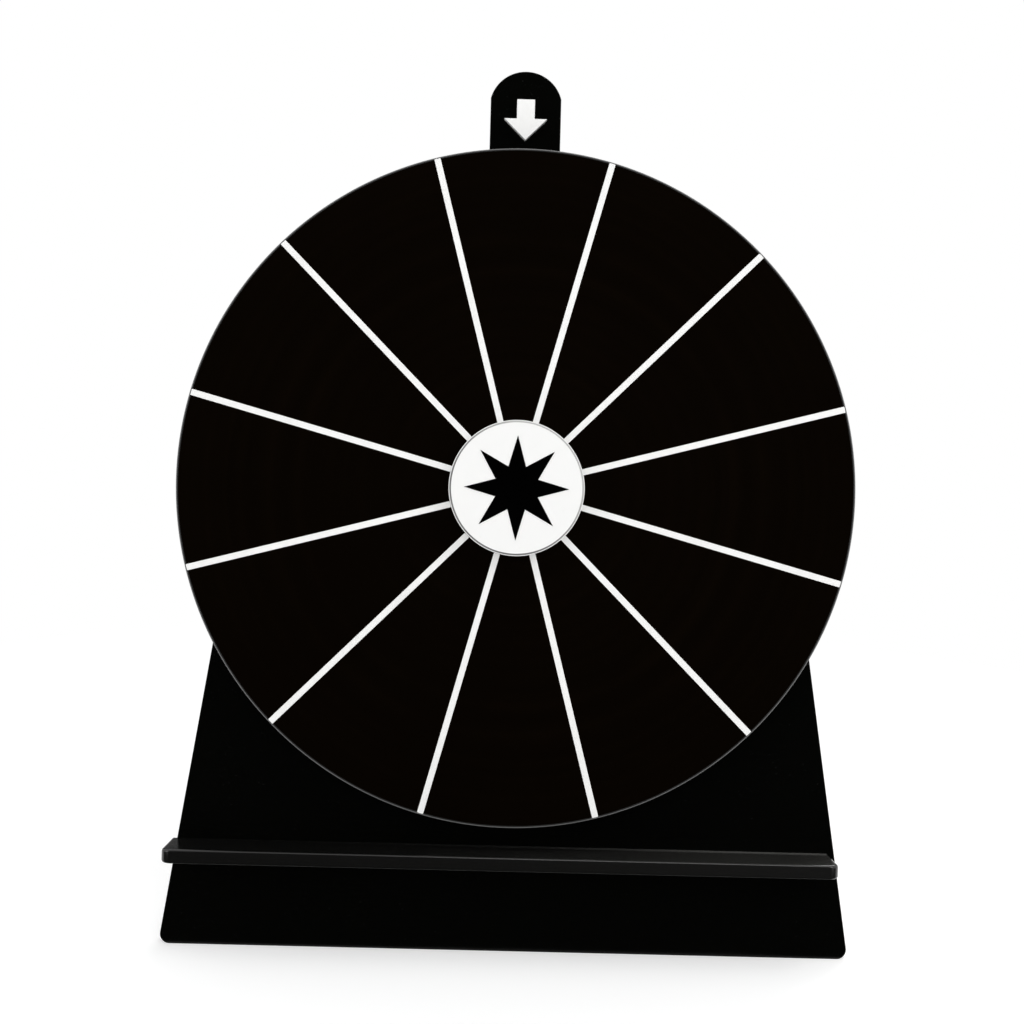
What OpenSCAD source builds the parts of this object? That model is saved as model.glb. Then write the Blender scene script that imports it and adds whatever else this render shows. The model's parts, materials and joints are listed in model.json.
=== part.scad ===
// Tabletop prize wheel: a free-turning round board on a ball-bearing axle, carried by a
// leaning black stand with a fixed pointer, a front ledge and a folding easel leg behind.
// Millimetres. +Z is up and the front faces -Y. The origin lies on the table, under the
// middle of the object's box.

/* [Wheel] */
// Diameter of the wheel over its rim band
wheel_d = 381; // [340:1:440]
// Thickness of the wheel board
board_t = 6; // [5:0.5:9]
// Thickness of the writable face sheet
sheet_t = 0.4; // [0.2:0.1:1]
// Thickness of the rim band, seen as a thin line round the face
band_t = 1.3; // [0.8:0.1:3]
// Number of slots marked on the face
slots = 12; // [6:1:20]
// Width of one divider line
divider_w = 3.5; // [2:0.1:6]
// Thickness of one divider line
divider_t = 0.25; // [0.15:0.05:0.6]
// Clear depth between the stand's front and the wheel's back
wheel_gap = 18; // [17:0.5:26]

/* [Hub cap] */
// Diameter of the cap over the wheel's middle
cap_d = 75.5; // [72:0.5:100]
// Wall of the cap, round its side
cap_wall = 3; // [2:0.1:4]
// Thickness of the cap's front
cap_front_t = 2.4; // [1.6:0.1:4]
// Radius of the cap's front edge
cap_edge_r = 0.4; // [0.2:0.1:1]
// Width of the bead round the cap's front
cap_bead = 0.5; // [0.4:0.1:2]
// Width of the groove inside the bead
cap_groove_w = 0.8; // [0.4:0.1:2]
// Depth of the groove inside the bead
cap_groove_d = 0.7; // [0.3:0.1:1.2]
// Wall of the collar that grips the bearing housing
collar_wall = 3; // [2:0.1:4]
// Number of points on the star
star_points = 8; // [5:1:12]
// Diameter of the star over its points
star_d = 58.4; // [40:0.2:62]
// Diameter of the circle through the star's valleys
star_valley_d = 25.6; // [16:0.2:36]
// Thickness of the star
star_t = 0.3; // [0.2:0.05:1]

/* [Bearing housing] */
// Wall of the housing round the bearings
housing_wall = 6; // [4:0.5:8]
// Width of the housing's flange, beyond its body
flange_rim = 19; // [17:0.5:20]
// Thickness of the flange
flange_t = 4; // [3:0.5:5]
// Web between the two bearings
web_t = 4; // [3:0.5:5]
// Height of the web's lip inside the bearing pockets
web_lip = 1.5; // [1:0.1:2]
// Height of the housing's nose in front of the wheel board
nose_h = 2; // [1.5:0.1:4]
// Depth of each bearing below the end of the housing
bearing_inset = 0.4; // [0.2:0.1:0.8]
// Number of bolts through the flange
hub_bolts_n = 6; // [4:1:8]
// Diameter of a flange bolt
hub_bolt_d = 4; // [3:0.5:5]
// Width across the flats of a flange nut
hub_nut_af = 7; // [6:0.5:8]
// Thickness of a flange nut
hub_nut_t = 3.2; // [2.4:0.1:4]

/* [Ball bearings] */
// Bore of a bearing
bearing_bore = 8; // [6:0.5:9]
// Outer diameter of a bearing
bearing_od = 22; // [21:0.5:26]
// Width of a bearing
bearing_w = 7; // [6.5:0.1:7.5]
// Diameter over the inner race
race_inner_d = 12.1; // [11.6:0.1:12.6]
// Diameter inside the outer race
race_outer_d = 19; // [18.4:0.1:19.2]
// Diameter of a ball
ball_d = 3.97; // [3.6:0.01:4.2]
// Number of balls in a bearing
balls_n = 7; // [5:1:9]
// Thickness of a bearing's shield
shield_t = 0.3; // [0.2:0.05:0.4]

/* [Axle] */
// Diameter of the large washers on both sides of the back board
load_washer_d = 30; // [22:1:40]
// Thickness of a large washer
load_washer_t = 1.6; // [1:0.1:2.5]
// Width across the flats of the axle's head and nuts
axle_af = 13; // [12.5:0.5:17]
// Thickness of the axle's head
axle_head_t = 5.3; // [4:0.1:8]
// Thickness of the nut that clamps the axle to the back board
clamp_nut_t = 4; // [3:0.1:4.5]
// Thickness of the end washer
end_washer_t = 1; // [0.6:0.1:2]
// Thickness of the hexagon of the lock nut
lock_nut_t = 4.5; // [4:0.1:6]
// Height of the lock nut's round collar
lock_collar_t = 2; // [1:0.1:3]
// Length of axle that stands out of the lock nut
axle_stub = 0.9; // [0.5:0.1:3]

/* [Back board] */
// Thickness of the back board
panel_t = 8; // [7.5:0.5:12]
// Width of the board's foot, where its sides would meet the table
base_w = 395; // [360:1:440]
// Lean of each side towards the middle
side_angle = 8.8; // [6:0.1:11]
// Radius of the two bottom corners
base_corner_r = 5.5; // [4:0.5:20]
// Angle by which the board leans back
lean = 10; // [7:0.5:13]
// Width of the pointer tab
tab_w = 40.4; // [34:0.2:60]
// Height of the tab above the wheel's rim
tab_rise = 48.5; // [42:0.5:70]
// Height of the tab's round top
tab_crown = 15.5; // [12:0.5:17]
// Radius where the tab meets the board
neck_r = 12; // [6:0.5:20]

/* [Pointer] */
// Width of the arrow's shaft
arrow_shaft_w = 10.2; // [6:0.2:14]
// Length of the arrow's shaft
arrow_shaft_l = 11; // [6:0.2:14]
// Width of the arrow's head
arrow_head_w = 24.6; // [18:0.2:30]
// Length of the arrow's head
arrow_head_l = 12.2; // [8:0.2:14]
// Thickness of the arrow
arrow_t = 5; // [2:0.5:8]
// Gap between the arrow's tip and the wheel's rim
arrow_gap = 8.4; // [6:0.2:14]

/* [Ledge] */
// Width of the ledge
ledge_w = 376; // [300:1:380]
// Offset of the ledge from the back board's middle, to the right
ledge_shift = -3.4; // [-6:0.2:6]
// Depth of the ledge in front of the back board
ledge_d = 39; // [36:0.5:60]
// Thickness of the ledge
ledge_t = 8; // [7:0.5:12]
// Height of the ledge's top, up the back board
ledge_v = 60.5; // [40:0.5:80]
// Gap between the ledge and the wheel's rim
rim_clear = 14; // [10:0.5:30]
// Radius of the ledge's front corners, in plan
ledge_corner_r = 6; // [2:0.5:12]
// Radius of the ledge's front edges
ledge_edge_r = 1.6; // [0.5:0.1:2.5]
// Number of screws that hold the ledge
ledge_screws_n = 4; // [2:1:4]
// Distance between two of these screws
ledge_screw_pitch = 95; // [40:1:100]
// Diameter of a ledge screw
ledge_screw_d = 4; // [3:0.5:4.5]
// Depth of a ledge screw in the ledge
ledge_screw_bite = 20; // [12:1:26]

/* [Easel leg] */
// Thickness of the leg
leg_t = 8; // [7.5:0.5:12]
// Width of the leg at its top
leg_top_w = 72; // [66:1:100]
// Width of the leg at the table
leg_foot_w = 120; // [80:1:200]
// Length of the heel above the hinge, which stops the leg when it is open
leg_heel = 22; // [18:0.5:26]
// Radius of the leg's top corners
leg_corner_r = 8; // [2:0.5:14]
// Angle between the leg and the back board when it is open
leg_open = 22; // [19:0.5:30]
// Thickness of the rubber pad under the leg
pad_t = 3; // [2:0.5:6]

/* [Hinge] */
// Distance of the hinge below the axle
hinge_drop = 50; // [46:0.5:70]
// Width of the hinge
hinge_w = 60; // [46:1:64]
// Height of a leaf, from the hinge's axis
leaf_h = 24; // [20:0.5:32]
// Thickness of a leaf
leaf_t = 1.5; // [1:0.1:1.8]
// Diameter of the hinge's barrel
barrel_d = 5; // [4.6:0.1:7]
// Diameter of the hinge's pin
pin_d = 2.5; // [2:0.1:3]
// Number of knuckles
knuckles_n = 5; // [3:2:7]
// Diameter of a hinge screw
hinge_screw_d = 3; // [2.5:0.1:3]
// Depth of a hinge screw in the board behind its leaf
hinge_screw_bite = 5; // [4:0.5:5]
// Distance between the two columns of hinge screws
hinge_screw_col = 36; // [20:1:46]
// Distance between the two rows of hinge screws
hinge_screw_row = 9; // [7:0.5:10]

/* [Hidden] */
$fn = 96;

// Clearances: a seat that is glued or clamped, a turning fit, and a gap between bodies
seat_clear = 0.05;
run_clear = 0.06;
body_gap = 0.3;
// Clearance between the open leg's heel and the back board
stop_clear = 0.1;
// Overshoot of cuts, and a length past every edge of the object
cut = 1;
reach = 2 * (wheel_d + base_w);
// Step of the arcs in outlines, in degrees
arc_step = 3;

// Heights up the back board, from its foot
wheel_r = wheel_d / 2;
axle_v = ledge_v + rim_clear + wheel_r;
tab_top = axle_v + wheel_r + tab_rise;
hinge_v = axle_v - hinge_drop;
arrow_tip_v = axle_v + wheel_r + arrow_gap;

// The board's sides run into an arch about the axle
arch_r = (base_w / 2 - axle_v * tan(side_angle)) * cos(side_angle);
neck_v = axle_v + sqrt(pow(arch_r + neck_r, 2) - pow(tab_w / 2 + neck_r, 2));
crown_r = (pow(tab_w / 2, 2) + pow(tab_crown, 2)) / (2 * tab_crown);

// Distances along the axle, forward from the back board's front
board_back_s = wheel_gap;
board_front_s = board_back_s + board_t;
sheet_front_s = board_front_s + sheet_t;
housing_front_s = board_front_s + nose_h;
front_bearing_s = housing_front_s - bearing_inset - bearing_w;
rear_bearing_s = front_bearing_s - web_t - bearing_w;
housing_rear_s = rear_bearing_s - bearing_inset;
clamp_nut_s = load_washer_t;
sleeve_s = clamp_nut_s + clamp_nut_t;
end_washer_s = front_bearing_s + bearing_w;
lock_nut_s = end_washer_s + end_washer_t;
axle_end_s = lock_nut_s + lock_nut_t + lock_collar_t + axle_stub;
axle_head_s = -panel_t - load_washer_t;
cap_inside_s = axle_end_s + 2 * body_gap;
cap_front_s = cap_inside_s + cap_front_t;

// Radii about the axle
axle_r = bearing_bore / 2 - seat_clear;
hole_r = bearing_bore / 2;
housing_r = bearing_od / 2 + housing_wall;
flange_r = housing_r + flange_rim;
hub_bolt_circle_r = housing_r + flange_rim / 2;
hub_bolt_head_d = 2 * hub_bolt_d;
hub_bolt_stub = hub_bolt_d / 8;
hub_bolt_l = board_t + flange_t + hub_nut_t + hub_bolt_stub;
sheet_hole_r = hub_bolt_circle_r + (hub_bolt_head_d + hub_bolt_d / 2) / 2;
pitch_r = (race_inner_d + race_outer_d) / 4;
groove_r = ball_d / 2 + run_clear;
shield_seat_r = race_outer_d / 2 + shield_t;
cage_t = ball_d / 4;
cage_back = ball_d / 6;
cage_front = bearing_w / 2 - 2 * shield_t - body_gap;

// The hinge's axis, behind the back board, with its barrel just clear of both boards
barrel_stand = 0.2;
hinge_off = barrel_d / 2 + barrel_stand;
hinge_n = panel_t + hinge_off;
knuckle_l = hinge_w / knuckles_n;
knuckle_notch = barrel_d / 2 + body_gap;
hinge_screw_head_d = 1.9 * hinge_screw_d;
ledge_screw_head_d = 2 * ledge_screw_d;
leg_tilt = leg_open - lean;
hinge_z = hinge_v * cos(lean) - hinge_n * sin(lean);
leg_l = (hinge_z + (hinge_off + leg_t) * sin(leg_tilt)) / cos(leg_tilt);

// Front and back of the object, from the foot of the back board's front
leg_back = hinge_v * sin(lean) + hinge_n * cos(lean) + (hinge_off + leg_t) * cos(leg_tilt)
    + leg_l * sin(leg_tilt);
tab_back = tab_top * sin(lean) + panel_t * cos(lean);
ledge_front = (ledge_v - ledge_t) * sin(lean) - ledge_d * cos(lean);
panel_y = -(ledge_front + max(leg_back, tab_back)) / 2;

// Points of an arc, between two angles
function arc(center, r, from, to) =
    let (steps = ceil(abs(to - from) / arc_step))
    [for (i = [0:steps]) let (a = from + (to - from) * i / steps) center + r * [cos(a), sin(a)]];

// The right half of an outline, closed by its mirror image
function mirrored(half) = concat(half, [for (i = [len(half) - 1:-1:0]) [-half[i][0], half[i][1]]]);

// The back board's frame: x to the right, y back from its front face, z up the board
module on_panel() {
    translate([0, panel_y, 0]) rotate([-lean, 0, 0]) children();
}

// The axle's frame: x to the right, y up the board, z forward from a distance along the axle
module on_axle(s = 0) {
    on_panel() translate([0, -s, axle_v]) rotate([90, 0, 0]) children();
}

// The hinge's frame: the back board's own directions, about the hinge's axis
module on_hinge() {
    on_panel() translate([0, hinge_n, hinge_v]) children();
}

// The open leg's frame: z up the leg, y towards its back
module on_leg() {
    on_hinge() rotate([leg_open, 0, 0]) children();
}

// Everything lower than a height above the table
module below(height) {
    translate([-reach, -reach, height - 2 * reach]) cube(2 * reach);
}

module ring(outer_r, inner_r, h) {
    difference() {
        cylinder(r = outer_r, h = h);
        translate([0, 0, -cut]) cylinder(r = inner_r, h = h + 2 * cut);
    }
}

// A hexagon with its front corners turned off, as on nuts and bolt heads
module hexagon(af, h) {
    corner_r = af / sqrt(3);
    intersection() {
        rotate(30) cylinder(r = corner_r, h = h, $fn = 6);
        cylinder(r1 = corner_r + h, r2 = af / 2 - seat_clear, h = h + corner_r - af / 2 + seat_clear);
    }
}

module nut(af, h, bore_r) {
    difference() {
        hexagon(af, h);
        translate([0, 0, -cut]) cylinder(r = bore_r, h = h + 2 * cut);
    }
}

// A countersunk screw below z = 0, with a cross recess and a blunt point
module screw(d, head_d, l, point) {
    recess_w = d / 4;
    recess_l = head_d * 0.55;
    recess_t = d / 3;
    difference() {
        rotate_extrude() polygon([
            [0, 0], [head_d / 2, 0], [d / 2, -(head_d - d) / 2],
            [d / 2, point - l], [d / 2 - point, -l], [0, -l]
        ]);
        for (turn = [0, 90])
            rotate(turn) translate([-recess_l / 2, -recess_w / 2, -recess_t])
                cube([recess_l, recess_w, recess_t + cut]);
    }
}

// The hole that a countersunk screw sits in
module screw_hole(d, head_d, l) {
    rotate_extrude() polygon([
        [0, cut], [head_d / 2 + seat_clear + cut, cut], [d / 2 + seat_clear, -(head_d - d) / 2],
        [d / 2 + seat_clear, -l - seat_clear], [0, -l - seat_clear]
    ]);
}

// Copies round the axle
module around(n) {
    for (i = [0:n - 1]) rotate(i * 360 / n) children();
}

// The places of one leaf's screws, with their heads in the face that it shows to the other leaf
module at_hinge_screws(side) {
    mid_z = -(leaf_h + knuckle_notch) / 2;
    for (x = [-1, 1], row = [-1, 1])
        translate([x * hinge_screw_col / 2, side * (hinge_off - leaf_t), mid_z + row * hinge_screw_row / 2])
            rotate([side * 90, 0, 0]) children();
}

// The places of the ledge's screws, on the back board's rear face
module at_ledge_screws() {
    for (i = [0:ledge_screws_n - 1])
        translate([(i - (ledge_screws_n - 1) / 2) * ledge_screw_pitch, panel_t, ledge_v - ledge_t / 2])
            rotate([-90, 0, 0]) children();
}

module panel_outline() {
    corner_x = base_w / 2 - base_corner_r * (1 + sin(side_angle)) / cos(side_angle);
    neck_x = tab_w / 2 + neck_r;
    neck_a = atan2(neck_v - axle_v, neck_x);
    polygon(mirrored(concat(
        arc([corner_x, base_corner_r], base_corner_r, -90, side_angle),
        arc([0, axle_v], arch_r, side_angle, neck_a),
        arc([neck_x, neck_v], neck_r, 180 + neck_a, 180),
        arc([0, tab_top - crown_r], crown_r, asin(1 - tab_crown / crown_r), 90 - arc_step)
    )));
}

// Back board: foot, sloping sides, arch and pointer tab, with its foot cut level
module back_panel() {
    color([0.02, 0.02, 0.02]) difference() {
        on_panel() difference() {
            translate([0, panel_t, 0]) rotate([90, 0, 0]) linear_extrude(panel_t) panel_outline();
            translate([0, -cut, axle_v]) rotate([-90, 0, 0])
                cylinder(r = hole_r + body_gap / 2, h = panel_t + 2 * cut);
            at_ledge_screws() screw_hole(ledge_screw_d, ledge_screw_head_d, panel_t + cut);
            translate([0, hinge_n, hinge_v]) at_hinge_screws(-1)
                screw_hole(hinge_screw_d, hinge_screw_head_d, leaf_t + hinge_screw_bite);
        }
        below(0);
    }
}

// Pointer: a down arrow glued to the tab
module pointer_arrow() {
    color([0.95, 0.95, 0.95]) on_axle() translate([0, arrow_tip_v - axle_v])
        linear_extrude(arrow_t) polygon(mirrored([
            [0, 0], [arrow_head_w / 2, arrow_head_l], [arrow_shaft_w / 2, arrow_head_l],
            [arrow_shaft_w / 2, arrow_head_l + arrow_shaft_l]
        ]));
}

// Ledge: a shelf square to the back board, with eased front edges and round front corners
module marker_ledge() {
    color([0.05, 0.05, 0.05]) on_panel() difference() {
        translate([ledge_shift, 0, 0]) intersection() {
            translate([0, 0, ledge_v - ledge_t]) linear_extrude(ledge_t) polygon(mirrored(concat(
                arc([ledge_w / 2 - ledge_corner_r, ledge_corner_r - ledge_d], ledge_corner_r, -90, 0),
                [[ledge_w / 2, 0]]
            )));
            translate([-ledge_w, 0, ledge_v - ledge_t]) rotate([90, 0, 90])
                linear_extrude(2 * ledge_w) polygon(concat(
                    arc([ledge_edge_r - ledge_d, ledge_edge_r], ledge_edge_r, 270, 180),
                    arc([ledge_edge_r - ledge_d, ledge_t - ledge_edge_r], ledge_edge_r, 180, 90),
                    [[cut, ledge_t], [cut, 0]]
                ));
        }
        at_ledge_screws() translate([0, 0, -panel_t - ledge_screw_bite - seat_clear])
            cylinder(d = ledge_screw_d + 2 * seat_clear, h = ledge_screw_bite + panel_t);
    }
}

module ledge_screws() {
    color([0.3, 0.3, 0.3]) on_panel() at_ledge_screws()
        screw(ledge_screw_d, ledge_screw_head_d, panel_t + ledge_screw_bite, ledge_screw_d / 3);
}

// Axle: a bolt through the back board, with its head behind
module axle_bolt() {
    point = axle_stub / 2;
    color([0.7, 0.7, 0.7]) on_axle() {
        translate([0, 0, axle_head_s]) mirror([0, 0, 1]) hexagon(axle_af, axle_head_t);
        translate([0, 0, axle_head_s]) cylinder(r = axle_r, h = axle_end_s - point - axle_head_s);
        translate([0, 0, axle_end_s - point]) cylinder(r1 = axle_r, r2 = axle_r - point, h = point);
    }
}

module axle_rear_washer() {
    color([0.75, 0.75, 0.75]) on_axle(-panel_t - load_washer_t)
        ring(load_washer_d / 2, hole_r, load_washer_t);
}

module axle_front_washer() {
    color([0.75, 0.75, 0.75]) on_axle() ring(load_washer_d / 2, hole_r, load_washer_t);
}

module axle_clamp_nut() {
    color([0.7, 0.7, 0.7]) on_axle(clamp_nut_s) nut(axle_af, clamp_nut_t, hole_r);
}

// Sleeve that holds the rear bearing off the clamp nut
module axle_sleeve() {
    color([0.75, 0.75, 0.75]) on_axle(sleeve_s) ring(race_inner_d / 2, hole_r, rear_bearing_s - sleeve_s);
}

// Grooved inner races, clamped on the axle
module bearing_inner_races() {
    color([0.8, 0.8, 0.8]) for (s = [rear_bearing_s, front_bearing_s]) on_axle(s)
        rotate_extrude() difference() {
            translate([hole_r, 0]) square([race_inner_d / 2 - hole_r, bearing_w]);
            translate([pitch_r, bearing_w / 2]) circle(r = groove_r);
        }
}

module bearing_spacer() {
    color([0.75, 0.75, 0.75]) on_axle(rear_bearing_s + bearing_w) ring(race_inner_d / 2, hole_r, web_t);
}

module axle_end_washer() {
    color([0.75, 0.75, 0.75]) on_axle(end_washer_s) ring(race_inner_d / 2, hole_r, end_washer_t);
}

// Lock nut: a hexagon with a round collar for its insert
module axle_lock_nut() {
    collar_r = 0.42 * axle_af;
    color([0.7, 0.7, 0.7]) on_axle(lock_nut_s) {
        nut(axle_af, lock_nut_t, hole_r);
        translate([0, 0, lock_nut_t - cut]) ring(collar_r, hole_r, lock_collar_t + cut);
    }
}

module wheel_board() {
    color([0.05, 0.05, 0.05]) on_axle(board_back_s) difference() {
        cylinder(r = wheel_r - band_t, h = board_t);
        translate([0, 0, -cut]) cylinder(r = housing_r + seat_clear, h = board_t + 2 * cut);
        around(hub_bolts_n) translate([hub_bolt_circle_r, 0, board_t])
            screw_hole(hub_bolt_d, hub_bolt_head_d, board_t + cut);
    }
}

module face_sheet() {
    color([0.03, 0.02, 0.01]) on_axle(board_front_s) ring(wheel_r - band_t, sheet_hole_r, sheet_t);
}

// Divider lines, with a slot centred below the pointer
module divider_lines() {
    line_from = cap_d / 2 + body_gap;
    line_to = wheel_r - band_t - body_gap;
    color([0.95, 0.95, 0.95]) on_axle(sheet_front_s) rotate(90 + 180 / slots) around(slots)
        translate([line_from, -divider_w / 2]) cube([line_to - line_from, divider_w, divider_t]);
}

// Rim band: a thin strip round the edge of the board and the sheet, with eased edges
module rim_band() {
    band_w = board_t + sheet_t;
    ease = band_t / 2;
    color([0.3, 0.3, 0.3]) on_axle(board_back_s) rotate_extrude() polygon([
        [wheel_r - band_t + seat_clear, 0], [wheel_r - ease, 0], [wheel_r, ease],
        [wheel_r, band_w - ease], [wheel_r - ease, band_w], [wheel_r - band_t + seat_clear, band_w]
    ]);
}

// Bearing housing: a turned body with a flange behind the board and a pocket at each end
module bearing_housing() {
    pocket_r = bearing_od / 2 + seat_clear;
    lip_r = bearing_od / 2 - web_lip;
    color([0.6, 0.6, 0.62]) difference() {
        on_axle() rotate_extrude() polygon([
            [pocket_r, housing_rear_s], [housing_r, housing_rear_s],
            [housing_r, board_back_s - flange_t], [flange_r, board_back_s - flange_t],
            [flange_r, board_back_s], [housing_r, board_back_s],
            [housing_r, housing_front_s], [pocket_r, housing_front_s],
            [pocket_r, front_bearing_s], [lip_r, front_bearing_s],
            [lip_r, front_bearing_s - web_t], [pocket_r, front_bearing_s - web_t]
        ]);
        on_axle(board_back_s) around(hub_bolts_n) translate([hub_bolt_circle_r, 0, -flange_t - cut])
            cylinder(d = hub_bolt_d + 2 * seat_clear, h = flange_t + 2 * cut);
    }
}

module hub_bolts() {
    color([0.5, 0.5, 0.5]) on_axle(board_front_s) around(hub_bolts_n)
        translate([hub_bolt_circle_r, 0]) screw(hub_bolt_d, hub_bolt_head_d, hub_bolt_l, hub_bolt_stub);
}

module hub_nuts() {
    color([0.5, 0.5, 0.5]) on_axle(board_back_s - flange_t) around(hub_bolts_n)
        translate([hub_bolt_circle_r, 0]) mirror([0, 0, 1])
            nut(hub_nut_af, hub_nut_t, hub_bolt_d / 2 + seat_clear);
}

// Grooved outer races, pressed into the housing, with a step for each shield
module bearing_outer_races() {
    step_h = 2 * shield_t;
    color([0.8, 0.8, 0.8]) for (s = [rear_bearing_s, front_bearing_s]) on_axle(s)
        rotate_extrude() difference() {
            translate([race_outer_d / 2, 0]) square([(bearing_od - race_outer_d) / 2, bearing_w]);
            translate([pitch_r, bearing_w / 2]) circle(r = groove_r);
            for (z = [0, bearing_w - step_h])
                translate([race_outer_d / 2 - cut, z]) square([cut + shield_t, step_h]);
        }
}

// Shields that close both sides of each bearing
module bearing_shields() {
    places = [shield_t, bearing_w - 2 * shield_t];
    color([0.6, 0.6, 0.6]) for (s = [rear_bearing_s, front_bearing_s], z = places)
        on_axle(s + z) ring(shield_seat_r - seat_clear, race_inner_d / 2 + body_gap, shield_t);
}

// Hub cap: a shallow cup with a collar that pushes on to the housing's nose, and a groove
// round its front that leaves a bead at the edge
module hub_cap() {
    rim_r = cap_d / 2;
    collar_r = housing_r + seat_clear;
    color([0.95, 0.95, 0.95]) on_axle() rotate_extrude() difference() {
        polygon(concat(
            [[rim_r - cap_wall, sheet_front_s], [rim_r, sheet_front_s]],
            arc([rim_r - cap_edge_r, cap_front_s - cap_edge_r], cap_edge_r, 0, 90),
            [
                [0, cap_front_s], [0, cap_inside_s], [collar_r, cap_inside_s],
                [collar_r, board_front_s + seat_clear], [collar_r + collar_wall, board_front_s + seat_clear],
                [collar_r + collar_wall, cap_inside_s], [rim_r - cap_wall, cap_inside_s]
            ]
        ));
        translate([rim_r - cap_bead - cap_groove_w, cap_front_s - cap_groove_d])
            square([cap_groove_w, cap_groove_d + cut]);
    }
}

module hub_star() {
    color([0.03, 0.02, 0.01]) on_axle(cap_front_s) linear_extrude(star_t) polygon([
        for (i = [0:2 * star_points - 1])
            let (a = 90 + i * 180 / star_points, r = (i % 2 == 0 ? star_d : star_valley_d) / 2)
            r * [cos(a), sin(a)]
    ]);
}

module bearing_balls() {
    color([0.85, 0.85, 0.85]) for (s = [rear_bearing_s, front_bearing_s]) on_axle(s + bearing_w / 2)
        around(balls_n) translate([pitch_r, 0]) sphere(d = ball_d);
}

// Crown cages that space the balls
module ball_cages() {
    color([0.9, 0.88, 0.8]) for (s = [rear_bearing_s, front_bearing_s]) on_axle(s + bearing_w / 2)
        difference() {
            translate([0, 0, -cage_back])
                ring(pitch_r + cage_t / 2, pitch_r - cage_t / 2, cage_back + cage_front);
            around(balls_n) translate([pitch_r, 0]) sphere(r = ball_d / 2 + run_clear);
        }
}

// The leg's outline, from its heel down past the table
module leg_outline(end) {
    flare = atan2((leg_foot_w - leg_top_w) / 2, leg_heel + leg_l);
    foot_x = leg_top_w / 2 + (leg_heel + end) * tan(flare);
    corner_x = leg_top_w / 2 - leg_corner_r * (1 - sin(flare)) / cos(flare);
    polygon(mirrored(concat(
        [[foot_x, -end]],
        arc([corner_x, leg_heel - leg_corner_r], leg_corner_r, flare, 90)
    )));
}

// The leg's board, long enough to reach below the table
module leg_blank() {
    on_leg() translate([0, hinge_off + leg_t, 0]) rotate([90, 0, 0])
        linear_extrude(leg_t) leg_outline(leg_l + leg_t);
}

// Leg: a tapered board whose heel is bevelled to lie on the back board when it is open
module easel_leg() {
    color([0.03, 0.03, 0.03]) difference() {
        leg_blank();
        on_panel() translate([-reach / 2, stop_clear + panel_t - reach, -reach / 2]) cube(reach);
        on_leg() at_hinge_screws(1)
            screw_hole(hinge_screw_d, hinge_screw_head_d, leaf_t + hinge_screw_bite);
        below(pad_t);
    }
}

// One leaf, on the side of the hinge's axis that faces away from the other leaf
module leaf(first, side, bore_r) {
    difference() {
        union() {
            translate([-hinge_w / 2, side > 0 ? hinge_off - leaf_t : -hinge_off, -leaf_h])
                cube([hinge_w, leaf_t, leaf_h]);
            for (i = [first:2:knuckles_n - 1])
                translate([i * knuckle_l - hinge_w / 2 + body_gap / 2, 0, 0]) rotate([0, 90, 0])
                    cylinder(d = barrel_d, h = knuckle_l - body_gap);
        }
        for (i = [1 - first:2:knuckles_n - 1])
            translate([i * knuckle_l - hinge_w / 2 - body_gap / 2, -barrel_d, -knuckle_notch])
                cube([knuckle_l + body_gap, 2 * barrel_d, 2 * knuckle_notch]);
        translate([-hinge_w, 0, 0]) rotate([0, 90, 0]) cylinder(r = bore_r, h = 2 * hinge_w);
        at_hinge_screws(side) screw_hole(hinge_screw_d, hinge_screw_head_d, leaf_t + hinge_screw_bite);
    }
}

module hinge_panel_leaf() {
    color([0.55, 0.55, 0.55]) on_hinge() leaf(0, -1, pin_d / 2 + seat_clear / 2);
}

module hinge_leg_leaf() {
    color([0.55, 0.55, 0.55]) on_leg() leaf(1, 1, pin_d / 2 + run_clear);
}

module hinge_pin() {
    color([0.7, 0.7, 0.7]) on_hinge() translate([-hinge_w / 2, 0, 0]) rotate([0, 90, 0])
        cylinder(d = pin_d, h = hinge_w);
}

// The screws of one leaf
module leaf_screws(side) {
    at_hinge_screws(side)
        screw(hinge_screw_d, hinge_screw_head_d, leaf_t + hinge_screw_bite, hinge_screw_d / 3);
}

module hinge_panel_screws() {
    color([0.4, 0.4, 0.4]) on_hinge() leaf_screws(-1);
}

module hinge_leg_screws() {
    color([0.4, 0.4, 0.4]) on_leg() leaf_screws(1);
}

// Rubber pad between the leg's end and the table
module leg_foot_pad() {
    color([0.1, 0.1, 0.1]) difference() {
        leg_blank();
        below(0);
        translate([0, 0, 2 * reach + pad_t]) below(0);
    }
}

back_panel();
pointer_arrow();
marker_ledge();
ledge_screws();
axle_bolt();
axle_rear_washer();
axle_front_washer();
axle_clamp_nut();
axle_sleeve();
bearing_inner_races();
bearing_spacer();
axle_end_washer();
axle_lock_nut();
hinge_panel_leaf();
hinge_pin();
hinge_panel_screws();
wheel_board();
face_sheet();
divider_lines();
rim_band();
bearing_housing();
hub_bolts();
hub_nuts();
bearing_outer_races();
bearing_shields();
hub_cap();
hub_star();
bearing_balls();
ball_cages();
easel_leg();
hinge_leg_leaf();
hinge_leg_screws();
leg_foot_pad();
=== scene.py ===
"""Looks of a tabletop prize wheel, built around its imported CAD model.

The stand leans back, so its pieces are drawn flat in the board's own frame (x across, y up the
board, z forward from the board's front) and then stood up. Round pieces are turned about the axle.
"""
import json
import logging
import math
from collections.abc import Callable, Sequence
from dataclasses import dataclass
from enum import Enum

import bmesh
import bpy
from mathutils import Matrix, Vector


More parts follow.
